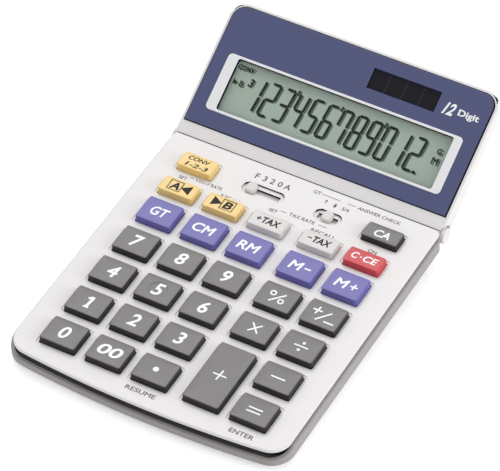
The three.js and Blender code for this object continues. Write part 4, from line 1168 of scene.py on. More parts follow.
def screw_places(m):
    """Where the four case screws stand."""
    key, cover = m.key, m.cover
    front = ((key.columns[0] + key.columns[1]) / 2, (key.rows["four"] + key.rows["one"]) / 2)
    rear = (key.columns[1] - key.hole_width / 2 + cover.post, key.rows["top"] + key.small_hole_depth / 2)
    return {
        "case_screw_front_left": front,
        "case_screw_front_right": (-front[X], front[Y]),
        "case_screw_rear_left": rear,
        "case_screw_rear_right": (-rear[X], rear[Y]),
    }


def switch_places(cover):
    """The middle, the width and the travel of each switch well, with the knob's own place."""
    parked = cover.decimal_centre - cover.decimal_travel / 2
    return {
        "decimal_switch": (cover.decimal_centre, cover.decimal_width, cover.decimal_travel, parked),
        "rounding_switch": (
            cover.rounding_centre, cover.rounding_width, cover.rounding_travel, cover.rounding_centre
        ),
    }


PLATE_PRINTS = (
    ("words", "F", -0.906, 2.748, None, 0.145, 0, FAINT),
    ("words", "3", -0.736, 2.748, None, 0.145, 0, FAINT),
    ("words", "2", -0.57, 2.748, None, 0.145, 0, FAINT),
    ("words", "0", -0.4, 2.748, None, 0.145, 0, FAINT),
    ("words", "A", -0.234, 2.748, None, 0.145, 0, FAINT),
    ("words", "GT", 0.35, 2.9, None, 0.09, 0, FAINT),
    ("bar", 0.45, 2.9, 0.86, 2.9, 0.014),
    ("bar", 1.02, 2.9, 1.2, 2.9, 0.014),
    ("words", "ANSWER CHECK", 1.72, 2.895, 0.94, 0.085, 0, FAINT),
    ("bar", 0.62, 2.7, 0.62, 2.79, 0.014),
    ("arrow", 0.62, 2.78, 0.07, 0),
    ("bar", 0.83, 2.73, 0.83, 2.79, 0.04),
    ("arrow", 0.83, 2.715, 0.09, 180),
    ("words", "5/4", 1.06, 2.735, None, 0.09, 0, FAINT),
    ("words", "SET", -0.18, 2.06, None, 0.085, 0, FAINT),
    ("bar", -0.05, 2.12, 0.08, 2.12, 0.014),
    ("words", "TAX RATE", 0.42, 2.13, 0.56, 0.085, 0, FAINT),
    ("bar", 0.78, 2.13, 0.97, 2.13, 0.014),
    ("words", "RECALL", 0.985, 1.96, 0.54, 0.085, 0, FAINT),
    ("words", "SET", -2.19, 2.02, None, 0.085, 0, FAINT),
    ("bar", -2.06, 2.09, -1.98, 2.09, 0.014),
    ("words", "CONV RATE", -1.64, 2.095, 0.58, 0.085, 0, FAINT),
    ("words", "RECALL", -1.07, 1.95, 0.46, 0.085, 0, FAINT),
    ("words", "ON", 2.05, 1.985, None, 0.09, 0, FAINT),
    ("words", "ENTER", 2.07, -3.222, 0.51, 0.105, 0, FAINT),
    ("words", "RESUME", -0.1, -3.205, 0.64, 0.105, 0, FAINT),
)


class CALCULATOR_OT_cover(bpy.types.Operator):
    """Model the top cover with its key holes, switch wells, skirt, screw posts and prints"""

    bl_idname = "calculator.cover"
    bl_label = "Top cover"

    def execute(self, context):
        m = measures()
        tone = finishes()
        cover, key = m.cover, m.key
        foot, row = -cover.thickness, key.rows["top"]
        plate = bowed_slab(m, cover.half, cover.front, cover.rear, foot, 0, cover.corner, FRONT_STEPS)
        top, under = rim_at(0), rim_at(foot)
        round_edges(plate, lambda e: top(e) and middle(e).y < cover.rear - NEAR, cover.edge, SOFT_STEPS)
        round_edges(plate, lambda e: under(e) and middle(e).y < cover.rear - NEAR, cover.edge)
        cut(plate, key_openings(m, cover.ledge, -cover.ledge_depth, OVERRUN))
        seen = lambda e: top(e) and abs(middle(e).x) < cover.half - 3 * cover.edge
        nearest = key.rows["zero"] - key.hole_depth / 2 - cover.front_margin / 2
        farthest = row + key.small_hole_depth / 2 + cover.rear_margin / 2
        between = lambda e: seen(e) and nearest < middle(e).y < farthest
        round_edges(plate, between, cover.ledge_rim, TINY_STEPS)
        cut(plate, key_openings(m, key.show_gap - key.gap, foot - OVERRUN, OVERRUN))
        wells, slots = self.switch_openings(cover, row)
        cut(plate, wells)
        reach = key.columns[OPERATORS_FROM] + key.hole_width / 2 + 2 * OVERRUN
        in_well = lambda p: abs(p.x) < reach and abs(p.y - row) < cover.well_depth / 2 + NEAR
        round_edges(plate, lambda e: seen(e) and in_well(middle(e)), cover.rim, SMALL_STEPS)
        cut(plate, slots)
        self.add_inside(m, plate)
        paint(plate, tone.silver, tone.dark)
        # Painted shade: the skirt and posts under the plate, the plate's face at the hinge gap and the far
        # walls of the switch wells are painted dark where shade falls
        use_second(plate, lambda f: at(f).z < foot - NEAR)
        use_second(plate, lambda f: f.normal.y > SLIGHT and at(f).y > cover.rear - m.screen.barrel)
        use_second(plate, lambda f: in_well(at(f)) and f.normal.y < -LEANING)
        prints = draw(PLATE_PRINTS, key.column_spacing, OVERRUN)
        lay_on(prints, plate, cover.print_lift)
        paint(prints, tone.print)
        join([plate, prints])
        finish_piece(plate, "cover_plate", deck_matrix(m), "base", ["top_cover"])
        return {"FINISHED"}

    def switch_openings(self, cover, row):
        """The wells and the slots of the two switches, as two cutting tools."""
        wells, slots = [], []
        deep, narrow, under = cover.well_depth / 2, cover.slot_depth / 2, -cover.thickness - OVERRUN
        for x, width, travel, _ in switch_places(cover).values():
            corners = (x - width / 2, row - deep, -cover.well_floor), (x + width / 2, row + deep, OVERRUN)
            wells.append(rounded_block(*corners, deep - NEAR, WIDE_STEPS))
            reach = travel / 2 + cover.knob_width / 2
            corners = (x - reach, row - narrow, under), (x + reach, row + narrow, OVERRUN)
            slots.append(rounded_block(*corners, cover.rim, SMALL_STEPS))
        return join(wells), join(slots)

    def add_inside(self, m, plate):
        """Add the skirt and the bored screw posts, and clear the hinge's room."""
        cover, case, screen = m.cover, m.case, m.screen
        inset = CLEARANCE + case.wall - cover.proud
        front = cover.front + inset + cover.groove
        rear = case.rear - case.wall - CLEARANCE
        half, corner, wall = cover.half - inset, cover.corner - inset, cover.skirt_thickness
        root = -cover.thickness / 2
        skirt = bowed_slab(m, half, front, rear, -cover.skirt, root, corner)
        core = bowed_slab(
            m, half - wall, front + wall, rear - wall, -cover.skirt - OVERRUN, OVERRUN, corner - wall
        )
        weld(plate, cut(skirt, core))
        screws = screw_places(m).values()
        foot = m.board_foot - CLEARANCE
        weld(plate, join(posts(screws, foot, root, cover.post, POST_SIDES)))
        bore_top = m.screw.top + m.screw.length + CLEARANCE
        cut(plate, join(posts(screws, foot - OVERRUN, bore_top, m.screw.shank + CLEARANCE, BORE_SIDES)))
        reach = cover.half + OVERRUN
        hinge = (screen.hinge_y, screen.hinge_z)
        cut(plate, rod((-reach, *hinge), (reach, *hinge), screen.barrel + cover.hinge_gap, BARREL_SIDES))


class CALCULATOR_OT_knobs(bpy.types.Operator):
    """Model the two slide knobs with their necks and feet"""

    bl_idname = "calculator.knobs"
    bl_label = "Slide knobs"

    def execute(self, context):
        m = measures()
        tone = finishes()
        cover = m.cover
        half, deep = cover.knob_width / 2, cover.knob_depth / 2
        stem = cover.slot_depth / 2 - CLEARANCE
        wide = cover.slot_depth / 2 + CLEARANCE
        foot, under = m.board_top + CLEARANCE, -cover.thickness - CLEARANCE
        for name, (_, _, travel, x) in switch_places(cover).items():
            low, high = (-half, -deep, CLEARANCE - cover.well_floor), (half, deep, cover.knob_rise)
            knob = rounded_block(low, high, cover.knob_corner, CORNER_STEPS)
            round_edges(knob, rim_at(cover.knob_rise), cover.knob_edge, SOFT_STEPS)
            neck = block((CLEARANCE - half, -stem, foot), (half - CLEARANCE, stem, 0))
            weld(knob, neck, block((-half, -deep, foot), (half, deep, under)))
            reach = half + travel
            weld(knob, block((-reach, -wide, under - cover.carrier), (reach, wide, under)))
            paint(knob, tone.knob)
            matrix = deck_matrix(m) @ Matrix.Translation((x, m.key.rows["top"], 0))
            node = name + "_knob"
            finish_piece(knob, name + "_slider", matrix, node, [node])
        return {"FINISHED"}


KNEE_IN_SHARE = 0.25
KNEE_DOWN_SHARE = 0.5
LEAST_BEND = math.radians(15)
DOOR_GRIPS = 4


def case_shell(m, inset, foot, lift):
    """The lower case in the keyboard's frame: an upright rim and rear, a knee and a level belly."""
    case = m.case
    half, front, rear = case.half - inset, case.front + inset, case.rear - inset
    corner = m.cover.corner + m.cover.proud - inset
    depth = rear - front
    drop = case.rim_foot - (foot - m.deck_height - rear * math.sin(KEYBOARD_TILT)) / math.cos(KEYBOARD_TILT)
    if drop < depth * math.tan(KEYBOARD_TILT):
        raise ValueError("The lower case has no height left at its front")
    obj = bowed_slab(m, half, front, rear, case.rim_foot, case.rim_top + lift, corner, FRONT_STEPS)
    done_in, done_down = 0, 0
    with editing(obj):
        pick("faces", lambda f: f.normal.z < -FLAT)
        for share_in, share_down in ((KNEE_IN_SHARE, KNEE_DOWN_SHARE), (1, 1)):
            wide = (half - share_in * case.side_inset) / (half - done_in * case.side_inset)
            long = (depth - share_in * case.front_inset) / (depth - done_in * case.front_inset)
            step = (share_down - done_down) * drop
            pivot = (0, rear, case.rim_foot - share_down * drop)
            bpy.ops.mesh.extrude_region_move(TRANSFORM_OT_translate={"value": (0, 0, -step)})
            bpy.ops.transform.resize(value=(wide, long, 1), center_override=pivot)
            turn = (share_down - done_down) * KEYBOARD_TILT
            bpy.ops.transform.rotate(value=turn, orient_axis="X", center_override=pivot)
            done_in, done_down = share_in, share_down
    return obj


def door_block(bay, grow, low, high, corner, steps=SOFT_STEPS):
    """A block with the battery door's outline, grown by a margin."""
    corners = (bay.left - grow, bay.front - grow, low), (bay.right + grow, bay.rear + grow, high)
    return rounded_block(*corners, corner, steps)


class CALCULATOR_OT_case(bpy.types.Operator):
    """Model the lower case with its lip, hinge lugs, screw wells and battery bay, its door and its feet"""

    bl_idname = "calculator.case"
    bl_label = "Lower case"

    def execute(self, context):
        m = measures()
        tone = finishes()
        low = m.case.stand - m.deck_height
        self.shell(m, tone, low)
        self.door(m, tone, low)
        self.feet(m, tone)
        return {"FINISHED"}

    def shell(self, m, tone, low):
        """The case itself."""
        case, bay, screw = m.case, m.bay, m.screw
        shell = case_shell(m, 0, case.stand, 0)
        self.form_edges(m, shell)
        cut(shell, case_shell(m, case.wall, case.stand + case.floor, OVERRUN))
        tilted = Matrix.Rotation(KEYBOARD_TILT, 4, "X")
        place(shell, tilted)
        deep = -2 * m.deck_height
        screws = screw_places(m).values()
        bosses = posts(screws, deep, m.board_foot - 2 * CLEARANCE, screw.boss, POST_SIDES)
        pads = posts(case.pads, deep, m.board_foot - CLEARANCE, case.pad, PAD_SIDES)
        uprights = slice_off(place(join(bosses + pads), tilted), (0, 0, low), (0, 0, 1), "clear_inner")
        hinge = (m.screen.hinge_y, m.screen.hinge_z)
        lugs = hinge_rods(case.lug_left, case.lug_right, case.lug, LUG_SIDES, *hinge)
        bore = m.screen.pin + CLEARANCE
        bores = hinge_rods(case.lug_left - OVERRUN, case.lug_right + OVERRUN, bore, POST_SIDES, *hinge)
        neck_rear, neck_foot, neck_top = hinge[0], hinge[1] - case.lug, hinge[1] - case.neck_top
        necks = [
            block((left, case.rear - case.wall / 2, neck_foot), (right, neck_rear, neck_top))
            for left, right in either_side(case.lug_left, case.lug_right)
        ]
        walls = door_block(bay, bay.wall, low, low + bay.height, bay.wall)
        weld(shell, join([uprights, walls]), place(join(lugs), tilted), place(join(necks), tilted))
        heads = posts(screws, deep, screw.top + CLEARANCE, screw.head + CLEARANCE, POST_SIDES)
        opening = door_block(
            bay, CLEARANCE, low - OVERRUN, low + bay.door + CLEARANCE, bay.wall + CLEARANCE
        )
        seats = posts(
            case.feet.values(), low - OVERRUN, low + case.foot_recess, case.foot + CLEARANCE, LUG_SIDES
        )
        cut(shell, join([place(join(heads + bores), tilted), opening, *seats]))
        cell_top = low + bay.height + OVERRUN
        shank = screw.shank + CLEARANCE
        holes = posts(screws, deep, OVERRUN, shank, BORE_SIDES)
        cell = post(bay.cell_x, bay.cell_y, low, cell_top, bay.cell + CLEARANCE, LUG_SIDES)
        boss = post(bay.screw_x, bay.cell_y, low, low + bay.boss, screw.boss + CLEARANCE, POST_SIDES)
        cut(shell, join([place(join(holes), tilted), cell, boss]))
        side_contact = bay.cell_x - bay.cell - CLEARANCE - bay.contact_thickness
        slot = block(
            (side_contact - CLEARANCE, bay.cell_y - bay.contact / 2 - CLEARANCE, low),
            (bay.cell_x, bay.cell_y + bay.contact / 2 + CLEARANCE, cell_top),
        )
        cut(shell, join([slot, post(bay.screw_x, bay.cell_y, low, cell_top, shank, BORE_SIDES)]))
        sweep = m.screen.barrel + case.hinge_gap
        room = rod((-case.lug_left, *hinge), (case.lug_left, *hinge), sweep, BARREL_SIDES)
        cut(shell, place(room, tilted))
        paint(shell, tone.case)
        finish_piece(shell, "lower_case", level_matrix(m), "base", ["bottom_case"])

    def form_edges(self, m, shell):
        """Slope the front lip, round the rim and bend the belly's edges."""
        case, cover = m.case, m.cover
        lip = cover.front + cover.bow
        ramp = block(
            (-case.half - OVERRUN, case.front - OVERRUN, case.rim_top - case.lip_drop),
            (case.half + OVERRUN, lip, case.rim_top + OVERRUN),
        )
        with editing(ramp, "EDGE"):
            pick("edges", lambda e: middle(e).y > lip - NEAR and middle(e).z > case.rim_top)
            run = cover.corner * (case.lip_drop + OVERRUN) / case.lip_drop
            bpy.ops.transform.translate(value=(0, run, 0))
        cut(shell, ramp)
        edge_of_top = lambda e: {f.normal.z > FLAT for f in e.link_faces} == {True, False}
        round_edges(shell, lambda e: edge_of_top(e) and middle(e).z > case.rim_foot, case.edge)
        below = lambda e: all(v.co.z < case.rim_foot + NEAR for v in e.verts)
        bend = lambda e: e.calc_face_angle(0) > LEAST_BEND and below(e)
        round_edges(shell, bend, case.knee_radius, BEND_STEPS)

    def door(self, m, tone, low):
        """The battery door with its screw boss."""
        bay, screw = m.bay, m.screw
        x, y = bay.screw_x, bay.cell_y
        door = door_block(bay, 0, low, low + bay.door, bay.wall, CORNER_STEPS)
        round_edges(door, ends_at(Z, low), bay.door_edge, SMALL_STEPS)
        weld(door, post(x, y, low + NEAR, low + bay.boss - CLEARANCE, screw.boss, POST_SIDES))
        grips = []
        deep = bay.door_depth / 4
        for i in range(DOOR_GRIPS):
            left = bay.left + (2 * i + 2) * bay.grip_width
            corners = (left, y - deep, low - OVERRUN), (left + bay.grip_width, y + deep, low + bay.grip_depth)
            grips.append(rounded_block(*corners, bay.grip_width / 3, TINY_STEPS))
        cut(door, join(grips))
        seat = low + screw.head_height + CLEARANCE
        head = post(x, y, low - OVERRUN, seat, screw.head + CLEARANCE, POST_SIDES)
        cut(door, head, post(x, y, low, low + bay.height, screw.shank + CLEARANCE, BORE_SIDES))
        paint(door, tone.case)
        finish_piece(door, "bay_door", level_matrix(m), "base", ["battery_door"])

    def feet(self, m, tone):
        """Four rubber feet with a round lower edge."""
        case = m.case
        table = -m.deck_height
        for name, (x, y) in case.feet.items():
            foot = post(x, y, table, table + case.foot_height, case.foot, CAP_SIDES)
            round_edges(foot, ends_at(Z, table), case.foot_edge)
            paint(foot, tone.rubber)
            finish_piece(foot, "rubber_" + name, level_matrix(m), "base", [name])


class CALCULATOR_OT_fasteners(bpy.types.Operator):
    """Model the case screws, the door screw and the hinge caps"""

    bl_idname = "calculator.fasteners"
    bl_label = "Screws and hinge caps"

    def screw(self, s, length, tone):
        """A steel screw whose head is down, with a cross recess in it."""
        screw = post(0, 0, -s.head_height, 0, s.head, LUG_SIDES)
        round_edges(screw, ends_at(Z, -s.head_height), s.head_edge)
        shank = post(0, 0, -s.head_height / 2, length, s.shank, POST_SIDES)
        round_edges(shank, ends_at(Z, length), s.shank / 2, SMALL_STEPS)
        weld(screw, shank)
        half, reach = s.recess_width / 2, s.recess_reach
        low, high = -s.head_height - OVERRUN, s.recess_depth - s.head_height
        along = block((-reach, -half, low), (reach, half, high))
        cut(screw, along, block((-half, -reach, low), (half, reach, high)))
        return paint(screw, tone.steel)

    def cap(self, m, tone):
        """The right hinge cap with its ring and its pin."""
        screen = m.screen
        inner = screen.cap_inner + CLEARANCE
        outer = inner + screen.cap_thickness
        cap = rod((inner, 0, 0), (outer, 0, 0), screen.cap, CAP_SIDES)
        round_edges(cap, ends_at(X, outer), screen.cap_edge, BEND_STEPS)
        with editing(cap):
            pick("faces", lambda f: f.normal.x > FLAT and at(f).x > outer - NEAR)
            bpy.ops.mesh.inset(thickness=screen.cap_ring, depth=0)
            bpy.ops.mesh.inset(thickness=screen.cap_ring, depth=-screen.cap_ring / 2)
        weld(cap, rod((m.case.lug_left + OVERRUN, 0, 0), (inner + NEAR, 0, 0), screen.pin, POST_SIDES))
        return paint(cap, tone.silver)

    def execute(self, context):
        m = measures()
        tone = finishes()
        deck, level = deck_matrix(m), level_matrix(m)
        for name, (x, y) in screw_places(m).items():
            screw = self.screw(m.screw, m.screw.length, tone)
            matrix = deck @ Matrix.Translation((x, y, m.screw.top))
            finish_piece(screw, name.replace("case_screw", "screw"), matrix, "base", [name])
        screw = self.screw(m.screw, m.bay.height - m.screw.head_height, tone)
        seat = m.case.stand - m.deck_height + m.screw.head_height
        matrix = level @ Matrix.Translation((m.bay.screw_x, m.bay.cell_y, seat))
        finish_piece(screw, "door_screw", matrix, "base", ["battery_door_screw"])
        hinge = Matrix.Translation((0, m.screen.hinge_y, m.screen.hinge_z))
        for name, turn in (("left", math.pi), ("right", 0)):
            matrix = deck @ hinge @ Matrix.Rotation(turn, 4, "Z")
            node = "hinge_cap_" + name
            finish_piece(self.cap(m, tone), "hinge_end_" + name, matrix, "base", [node])
        return {"FINISHED"}


class CALCULATOR_OT_hidden(bpy.types.Operator):
    """Finish the pieces that keep the shape of the frame's own nodes"""

    bl_idname = "calculator.hidden"
    bl_label = "Frame's own pieces"

    def execute(self, context):
        tone = finishes()
        kept = {
            "membrane": ("keypad_membrane",),
            "board": ("main_board", "display_board"),
            "steel": ("button_cell", "battery_contact_positive", "battery_contact_negative"),
        }
        for finish, nodes in kept.items():
            for node in nodes:
                paint(frame["nodes"][node], getattr(tone, finish))
        return {"FINISHED"}


def screen_slab(half, foot, top, low, high, corner, rise=0.0, steps=CORNER_STEPS):
    """A slab with the display's outline: square at the foot, round at the top, its underside rising."""
    obj = block((-half, foot, low), (half, top, high))
    if rise:
        with editing(obj, "EDGE"):
            pick("edges", lambda e: ends_at(Z, low)(e) and ends_at(Y, top)(e))
            bpy.ops.transform.translate(value=(0, 0, rise))
    round_edges(obj, lambda e: upright(e) and middle(e).y > (foot + top) / 2, corner, steps)
    return obj


def in_line(point, s):
    """True for a point inside the fine line across the strip, which is painted with shade."""
    along = s.line_place - NEAR < point.y < s.line_place + s.line_width + NEAR
    return along and s.face - s.line_depth - NEAR < point.z < s.face - NEAR


def in_seat(point, s):
    """True for a point on the walls or the floor of the panel's seat, which are painted with shade."""
    across = abs(point.x) < s.panel_half + NEAR
    along = s.panel_foot - s.groove - NEAR < point.y < s.panel_top + NEAR
    return across and along and s.panel_low - 2 * CLEARANCE < point.z < s.face - NEAR


SEGMENTS = {
    "a": ((0, 1), (1, 1)),
    "b": ((1, 1), (1, 0.5)),
    "c": ((1, 0.5), (1, 0)),
    "d": ((0, 0), (1, 0)),
    "e": ((0, 0.5), (0, 0)),
    "f": ((0, 1), (0, 0.5)),
    "g": ((0, 0.5), (1, 0.5)),
}
LIT = {
    "0": "abcdef",
    "1": "bc",
    "2": "abged",
    "3": "abgcd",
    "4": "fgbc",
    "5": "afgcd",
    "6": "afgcde",
    "7": "fabc",
    "8": "abcdefg",
    "9": "abcdfg",
}
READING = "123456789012"
SEGMENT_GAP = 0.14
BEFORE_THOUSANDS = (2, 5, 8)
TICK_WIDTH = 0.7
POINT_WIDTH = 1.3
SMALL_MARKS = (
    ("words", "CONV", -6.72, 1.36, 1.13, 0.32, 0, BOLDER),
    ("words", "3", -6.05, 0.62, None, 0.54, SLANT, BOLDER),
    ("arrow", -7.1, 0.36, 0.4, -90),
    ("words", "B", -6.62, 0.36, None, 0.38, 0, THIN),
    ("words", "M", 6.86, 0.03, None, 0.46, 0, THIN),
    ("words", "G", 6.9, 0.68, None, 0.38, 0, THIN),
)


def segment(start, end, width, gap, height):
    """One bar of a digit, a little short of its neighbours, with cut corners."""
    start, end = Vector(start), Vector(end)
    way = (end - start).normalized() * gap
    bar = stripe(start + way, end - way, width, height)
    with editing(bar, "VERT", whole=True):
        bpy.ops.mesh.bevel(offset=width / 3, segments=1, affect="VERTICES")
    return bar


def crystal_marks(s, height):
    """The digits, the thousands marks, the point and the small signs on the crystal glass."""
    wide = s.digit_width - s.stroke
    tall = s.digit_height - s.stroke
    low = s.window_middle - tall / 2
    last = (len(READING) - 1) / 2
    shapes = []
    for i, digit in enumerate(READING):
        left = (i - last) * s.digit_spacing - wide / 2 - s.digit_slant / 2
        for name in LIT[digit]:
            ends = [(left + x * wide + y * s.digit_slant, low + y * tall) for x, y in SEGMENTS[name]]
            shapes.append(segment(*ends, s.stroke, s.stroke * SEGMENT_GAP, height))
        if i in BEFORE_THOUSANDS:
            mark = left + wide + (s.digit_spacing - wide) / 2 + s.digit_slant
            foot = low + tall - s.stroke
            ends = (mark - s.stroke / 4, foot), (mark, foot + 2 * s.stroke)
            shapes.append(stripe(*ends, s.stroke * TICK_WIDTH, height))
    point = (last * s.digit_spacing + s.digit_width / 2, low, height)
    size = s.stroke * POINT_WIDTH
    shapes.append(flat_shape(BORE_SIDES, point, 0, (size, size)))
    signs = draw(SMALL_MARKS, s.digit_spacing, height)
    signs.location = (0, s.window_middle, 0)
    return join([*shapes, settle(signs)])


SOLAR_FIELDS = 4
DIGITS_SLANT = 0.35
MEDIUM = 0.025
PANEL_PRINTS = (
    ("words", "12", 2.09, 0.005, 0.25, 0.26, DIGITS_SLANT, BOLDER),
    ("words", "Digit", 2.515, -0.015, 0.45, 0.175, 0, MEDIUM),
)


class CALCULATOR_OT_display(bpy.types.Operator):
    """Model the display's housing, panel, window frame, window, crystal glass and solar cell"""

    bl_idname = "calculator.display"
    bl_label = "Display"

    def housing(self, m, tone):
        """The silver housing with its barrel, its hollow and the notches for the lugs."""
        s = m.screen
        rise = s.length * s.back_slope
        shell = screen_slab(s.half, 0, s.length, -s.barrel, s.face, s.corner, rise, WIDE_STEPS)
        beside = lambda f: abs(f.normal.z) < STEEP and f.normal.y > -STEEP
        ring = lambda e: not upright(e) and any(beside(f) for f in e.link_faces)
        round_edges(shell, ring, s.bevel, SMALL_STEPS)
        weld(shell, rod((-s.half, 0, 0), (s.half, 0, 0), s.barrel, BARREL_SIDES))
        top = s.face + OVERRUN
        seat_foot, seat_low = s.panel_foot - s.groove, s.panel_low - CLEARANCE
        seat = screen_slab(s.panel_half, seat_foot, s.panel_top, seat_low, top, s.panel_corner)
        hollow_foot, hollow_top = s.panel_foot + s.ledge / 2, s.panel_top - s.ledge
        hollow = screen_slab(
            s.panel_half - s.ledge,
            hollow_foot,
            hollow_top,
            hollow_foot * s.back_slope - s.barrel + s.wall,
            top,
            s.panel_corner - s.ledge / 2,
            (hollow_top - hollow_foot) * s.back_slope,
        )
        cut(shell, hollow, seat)
        self.hinge_room(m, shell)
        line = block(
            (-s.half - OVERRUN, s.line_place, s.face - s.line_depth),
            (s.half + OVERRUN, s.line_place + s.line_width, top),
        )
        cut(shell, line)
        paint(shell, tone.silver, tone.dark)
        # Painted shade: the panel's seat and the fine groove across the strip are painted dark where shade
        # falls in them
        use_second(shell, lambda f: in_seat(at(f), s) or in_line(at(f), s))
        matrix = display_matrix(m)
        finish_piece(shell, "display_housing", matrix, "display", ["display_back_cover"])

    def hinge_room(self, m, shell):
        """Cut the room for the case's lugs and their necks, the caps and the pins."""
        s, case = m.screen, m.case
        margin = math.asin(CLEARANCE / case.lug)
        turns = (
            (math.pi + math.asin(case.neck_top / s.barrel) - s.tilt - s.lift - margin, "clear_inner"),
            (math.pi + math.asin(case.lug / (s.barrel - s.skin)) + margin, "clear_outer"),
        )
        near, far = case.lug_left - CLEARANCE, case.lug_right + CLEARANCE
        rounds = hinge_rods(near, far, s.barrel - s.skin, CAP_SIDES)
        sectors = hinge_rods(near, far, s.barrel + OVERRUN, CAP_SIDES)
        for sector in sectors:
            for turn, drop in turns:
                slice_off(sector, (0, 0, 0), (0, -math.sin(turn), math.cos(turn)), drop)
        caps = hinge_rods(s.cap_inner, s.half + OVERRUN, s.barrel + CLEARANCE, CAP_SIDES)
        pins = hinge_rods(case.lug_right - OVERRUN, s.half + OVERRUN, s.pin + CLEARANCE, POST_SIDES)
        cut(shell, join(rounds), join(sectors), join(caps), join(pins))

    def panel(self, m, tone):
        """The blue panel with its two windows and its lettering."""
        s = m.screen
        low, high = s.panel_low - OVERRUN, s.panel_high + OVERRUN
        half, top, corner = s.panel_half - s.groove, s.panel_top - s.groove, s.panel_corner - s.groove
        panel = screen_slab(half, s.panel_foot, top, s.panel_low, s.panel_high, corner)
        corners = (-s.window_half, s.window_low, low), (s.window_half, s.window_high, high)
        window = rounded_block(*corners, s.window_corner)
        cut(panel, window, block((s.solar_left, s.solar_low, low), (s.solar_right, s.solar_high, high)))
        round_edges(panel, rim_at(s.panel_high), s.panel_edge, SMALL_STEPS)
        prints = draw(PANEL_PRINTS, m.key.column_spacing, 0)
        prints.location = (0, (s.solar_low + s.solar_high) / 2 - s.solar_length / 8, high)
        lay_on(settle(prints), panel, m.cover.print_lift)
        paint(panel, tone.blue, tone.dark)
        # Painted shade: the panel's right side walls are painted dark, standing in for the shadow gap beside
        # the panel
        use_second(panel, lambda f: f.normal.x > STEEP and at(f).x > s.panel_half - s.panel_corner)
        paint(prints, tone.legend)
        join([panel, prints])
        matrix = display_matrix(m)
        finish_piece(panel, "display_panel", matrix, "display", ["display_front_panel"])

    def window(self, m, tone):
        """The off-white frame, the clear window and the crystal glass with its digits."""
        s = m.screen
        matrix = display_matrix(m)
        half, right = s.window_half, s.window_half - s.bezel_side
        left, wide = right - s.bezel_more, right + CLEARANCE
        low, high = s.window_low + s.bezel_end, s.window_high - s.bezel_end
        top = s.panel_high + s.bezel_proud
        corners = (-half, s.window_low, s.panel_low), (half, s.window_high, top)
        surround = rounded_block(*corners, s.window_corner)
        foot, over = s.panel_low - OVERRUN, s.panel_high + 2 * OVERRUN
        corners = (-left - CLEARANCE, low - CLEARANCE, foot), (wide, high + CLEARANCE, over)
        cut(surround, rounded_block(*corners, s.window_corner / 2))
        paint(surround, tone.white, tone.dark)
        inside = lambda p: abs(p.x) < wide + CLEARANCE and low - OVERRUN < p.y < high + OVERRUN
        # Painted shade: the inner walls of the frame's opening are painted dark, standing in for the shade
        # down in the window's recess
        use_second(surround, lambda f: abs(f.normal.z) < STEEP and inside(at(f)))
        round_edges(surround, rim_at(top), s.bezel_edge, SMALL_STEPS)
        finish_piece(surround, "window_surround", matrix, "display", ["window_frame"])
        foot = s.panel_high - s.pane_sink
        pane = rounded_block((-left, low, foot), (right, high, foot + s.pane), s.window_corner / 2)
        paint(pane, tone.pane)
        finish_piece(pane, "window_pane", matrix, "display", ["display_window"])
        reach = right + s.glass_border
        foot, end = low - s.glass_border, high + s.glass_border
        glass = block((-reach, foot, s.glass_low), (reach, end, s.glass_high))
        round_edges(glass, rim_at(s.glass_high), s.bezel_edge, TINY_STEPS)
        paint(glass, tone.crystal)
        digits = thicken(crystal_marks(s, s.glass_high + s.mark / 2), s.mark)
        paint(digits, tone.digit)
        join([glass, digits])
        finish_piece(glass, "crystal_glass", matrix, "display", ["liquid_crystal_glass"])
        shade = thicken(crystal_marks(s, s.glass_high + s.mark), s.mark)
        shade.location = (s.shade_right, -s.shade_down, 0)
        paint(shade, tone.shade)
        finish_piece(shade, "crystal_shade", matrix, "display")

    def solar(self, m, tone):
        """The dark solar cell with its four fields."""
        s = m.screen
        top = s.panel_high - s.solar_pocket - CLEARANCE
        border = s.solar_pocket - CLEARANCE
        cell = block(
            (s.solar_left - border, s.solar_low - border, top - s.solar_thickness),
            (s.solar_right + border, s.solar_high + border, top),
        )
        lines = []
        for i in range(1, SOLAR_FIELDS):
            x = s.solar_left + i * (s.solar_width / SOLAR_FIELDS)
            lines.append(stripe((x, s.solar_low), (x, s.solar_high), s.solar_line, top + s.mark / 2))
        lines = thicken(join(lines), s.mark)
        paint(cell, tone.solar)
        paint(lines, tone.solar_line)
        join([cell, lines])
        finish_piece(cell, "solar_window", display_matrix(m), "display", ["solar_cell"])

    def execute(self, context):
        m = measures()
        tone = finishes()
        self.housing(m, tone)
        self.panel(m, tone)
        self.window(m, tone)
        self.solar(m, tone)
        return {"FINISHED"}


FLOOR_SIZE = 40.0
FLOOR_COLOUR = (0.86, 0.86, 0.87, 1)
FLOOR_ROUGHNESS = 0.9
CAMERA_WHITE = 0.45
WHITE = (1, 1, 1, 1)
SENSOR_WIDTH = 36
FARTHEST_SEEN = 100
SOFTBOX = ((-0.352, 0.554, 0.754), 3.0, (2.24, 1.74))
SIDE_LIGHT = ((0.95, 0.15, 0.3), 1.2, (0.6, 0.6))


def seen_directly(tree):
    """One where the camera, a gloss or a clear layer looks straight at the surface, and nothing elsewhere."""
    path = tree.nodes.new("ShaderNodeLightPath")
    last = path.outputs["Is Camera Ray"]
    for ray in ("Is Glossy Ray", "Is Transmission Ray"):
        add = tree.nodes.new("ShaderNodeMath")
        add.operation = "MAXIMUM"
        tree.links.new(last, add.inputs[0])
        tree.links.new(path.outputs[ray], add.inputs[1])
        last = add.outputs[0]
    return last


def area_light(name, power, target, way, distance, size):
    """Add a soft rectangular light that shines on the target from one side."""
    bpy.ops.object.light_add(type="AREA")
    light = bpy.context.object
    light.name = name
    light.data.shape = "RECTANGLE"
    light.data.size, light.data.size_y = size
    light.data.energy = power
    way = Vector(way).normalized()
    light.location = target + distance * way
    light.rotation_euler = way.to_track_quat("Z", "Y").to_euler()


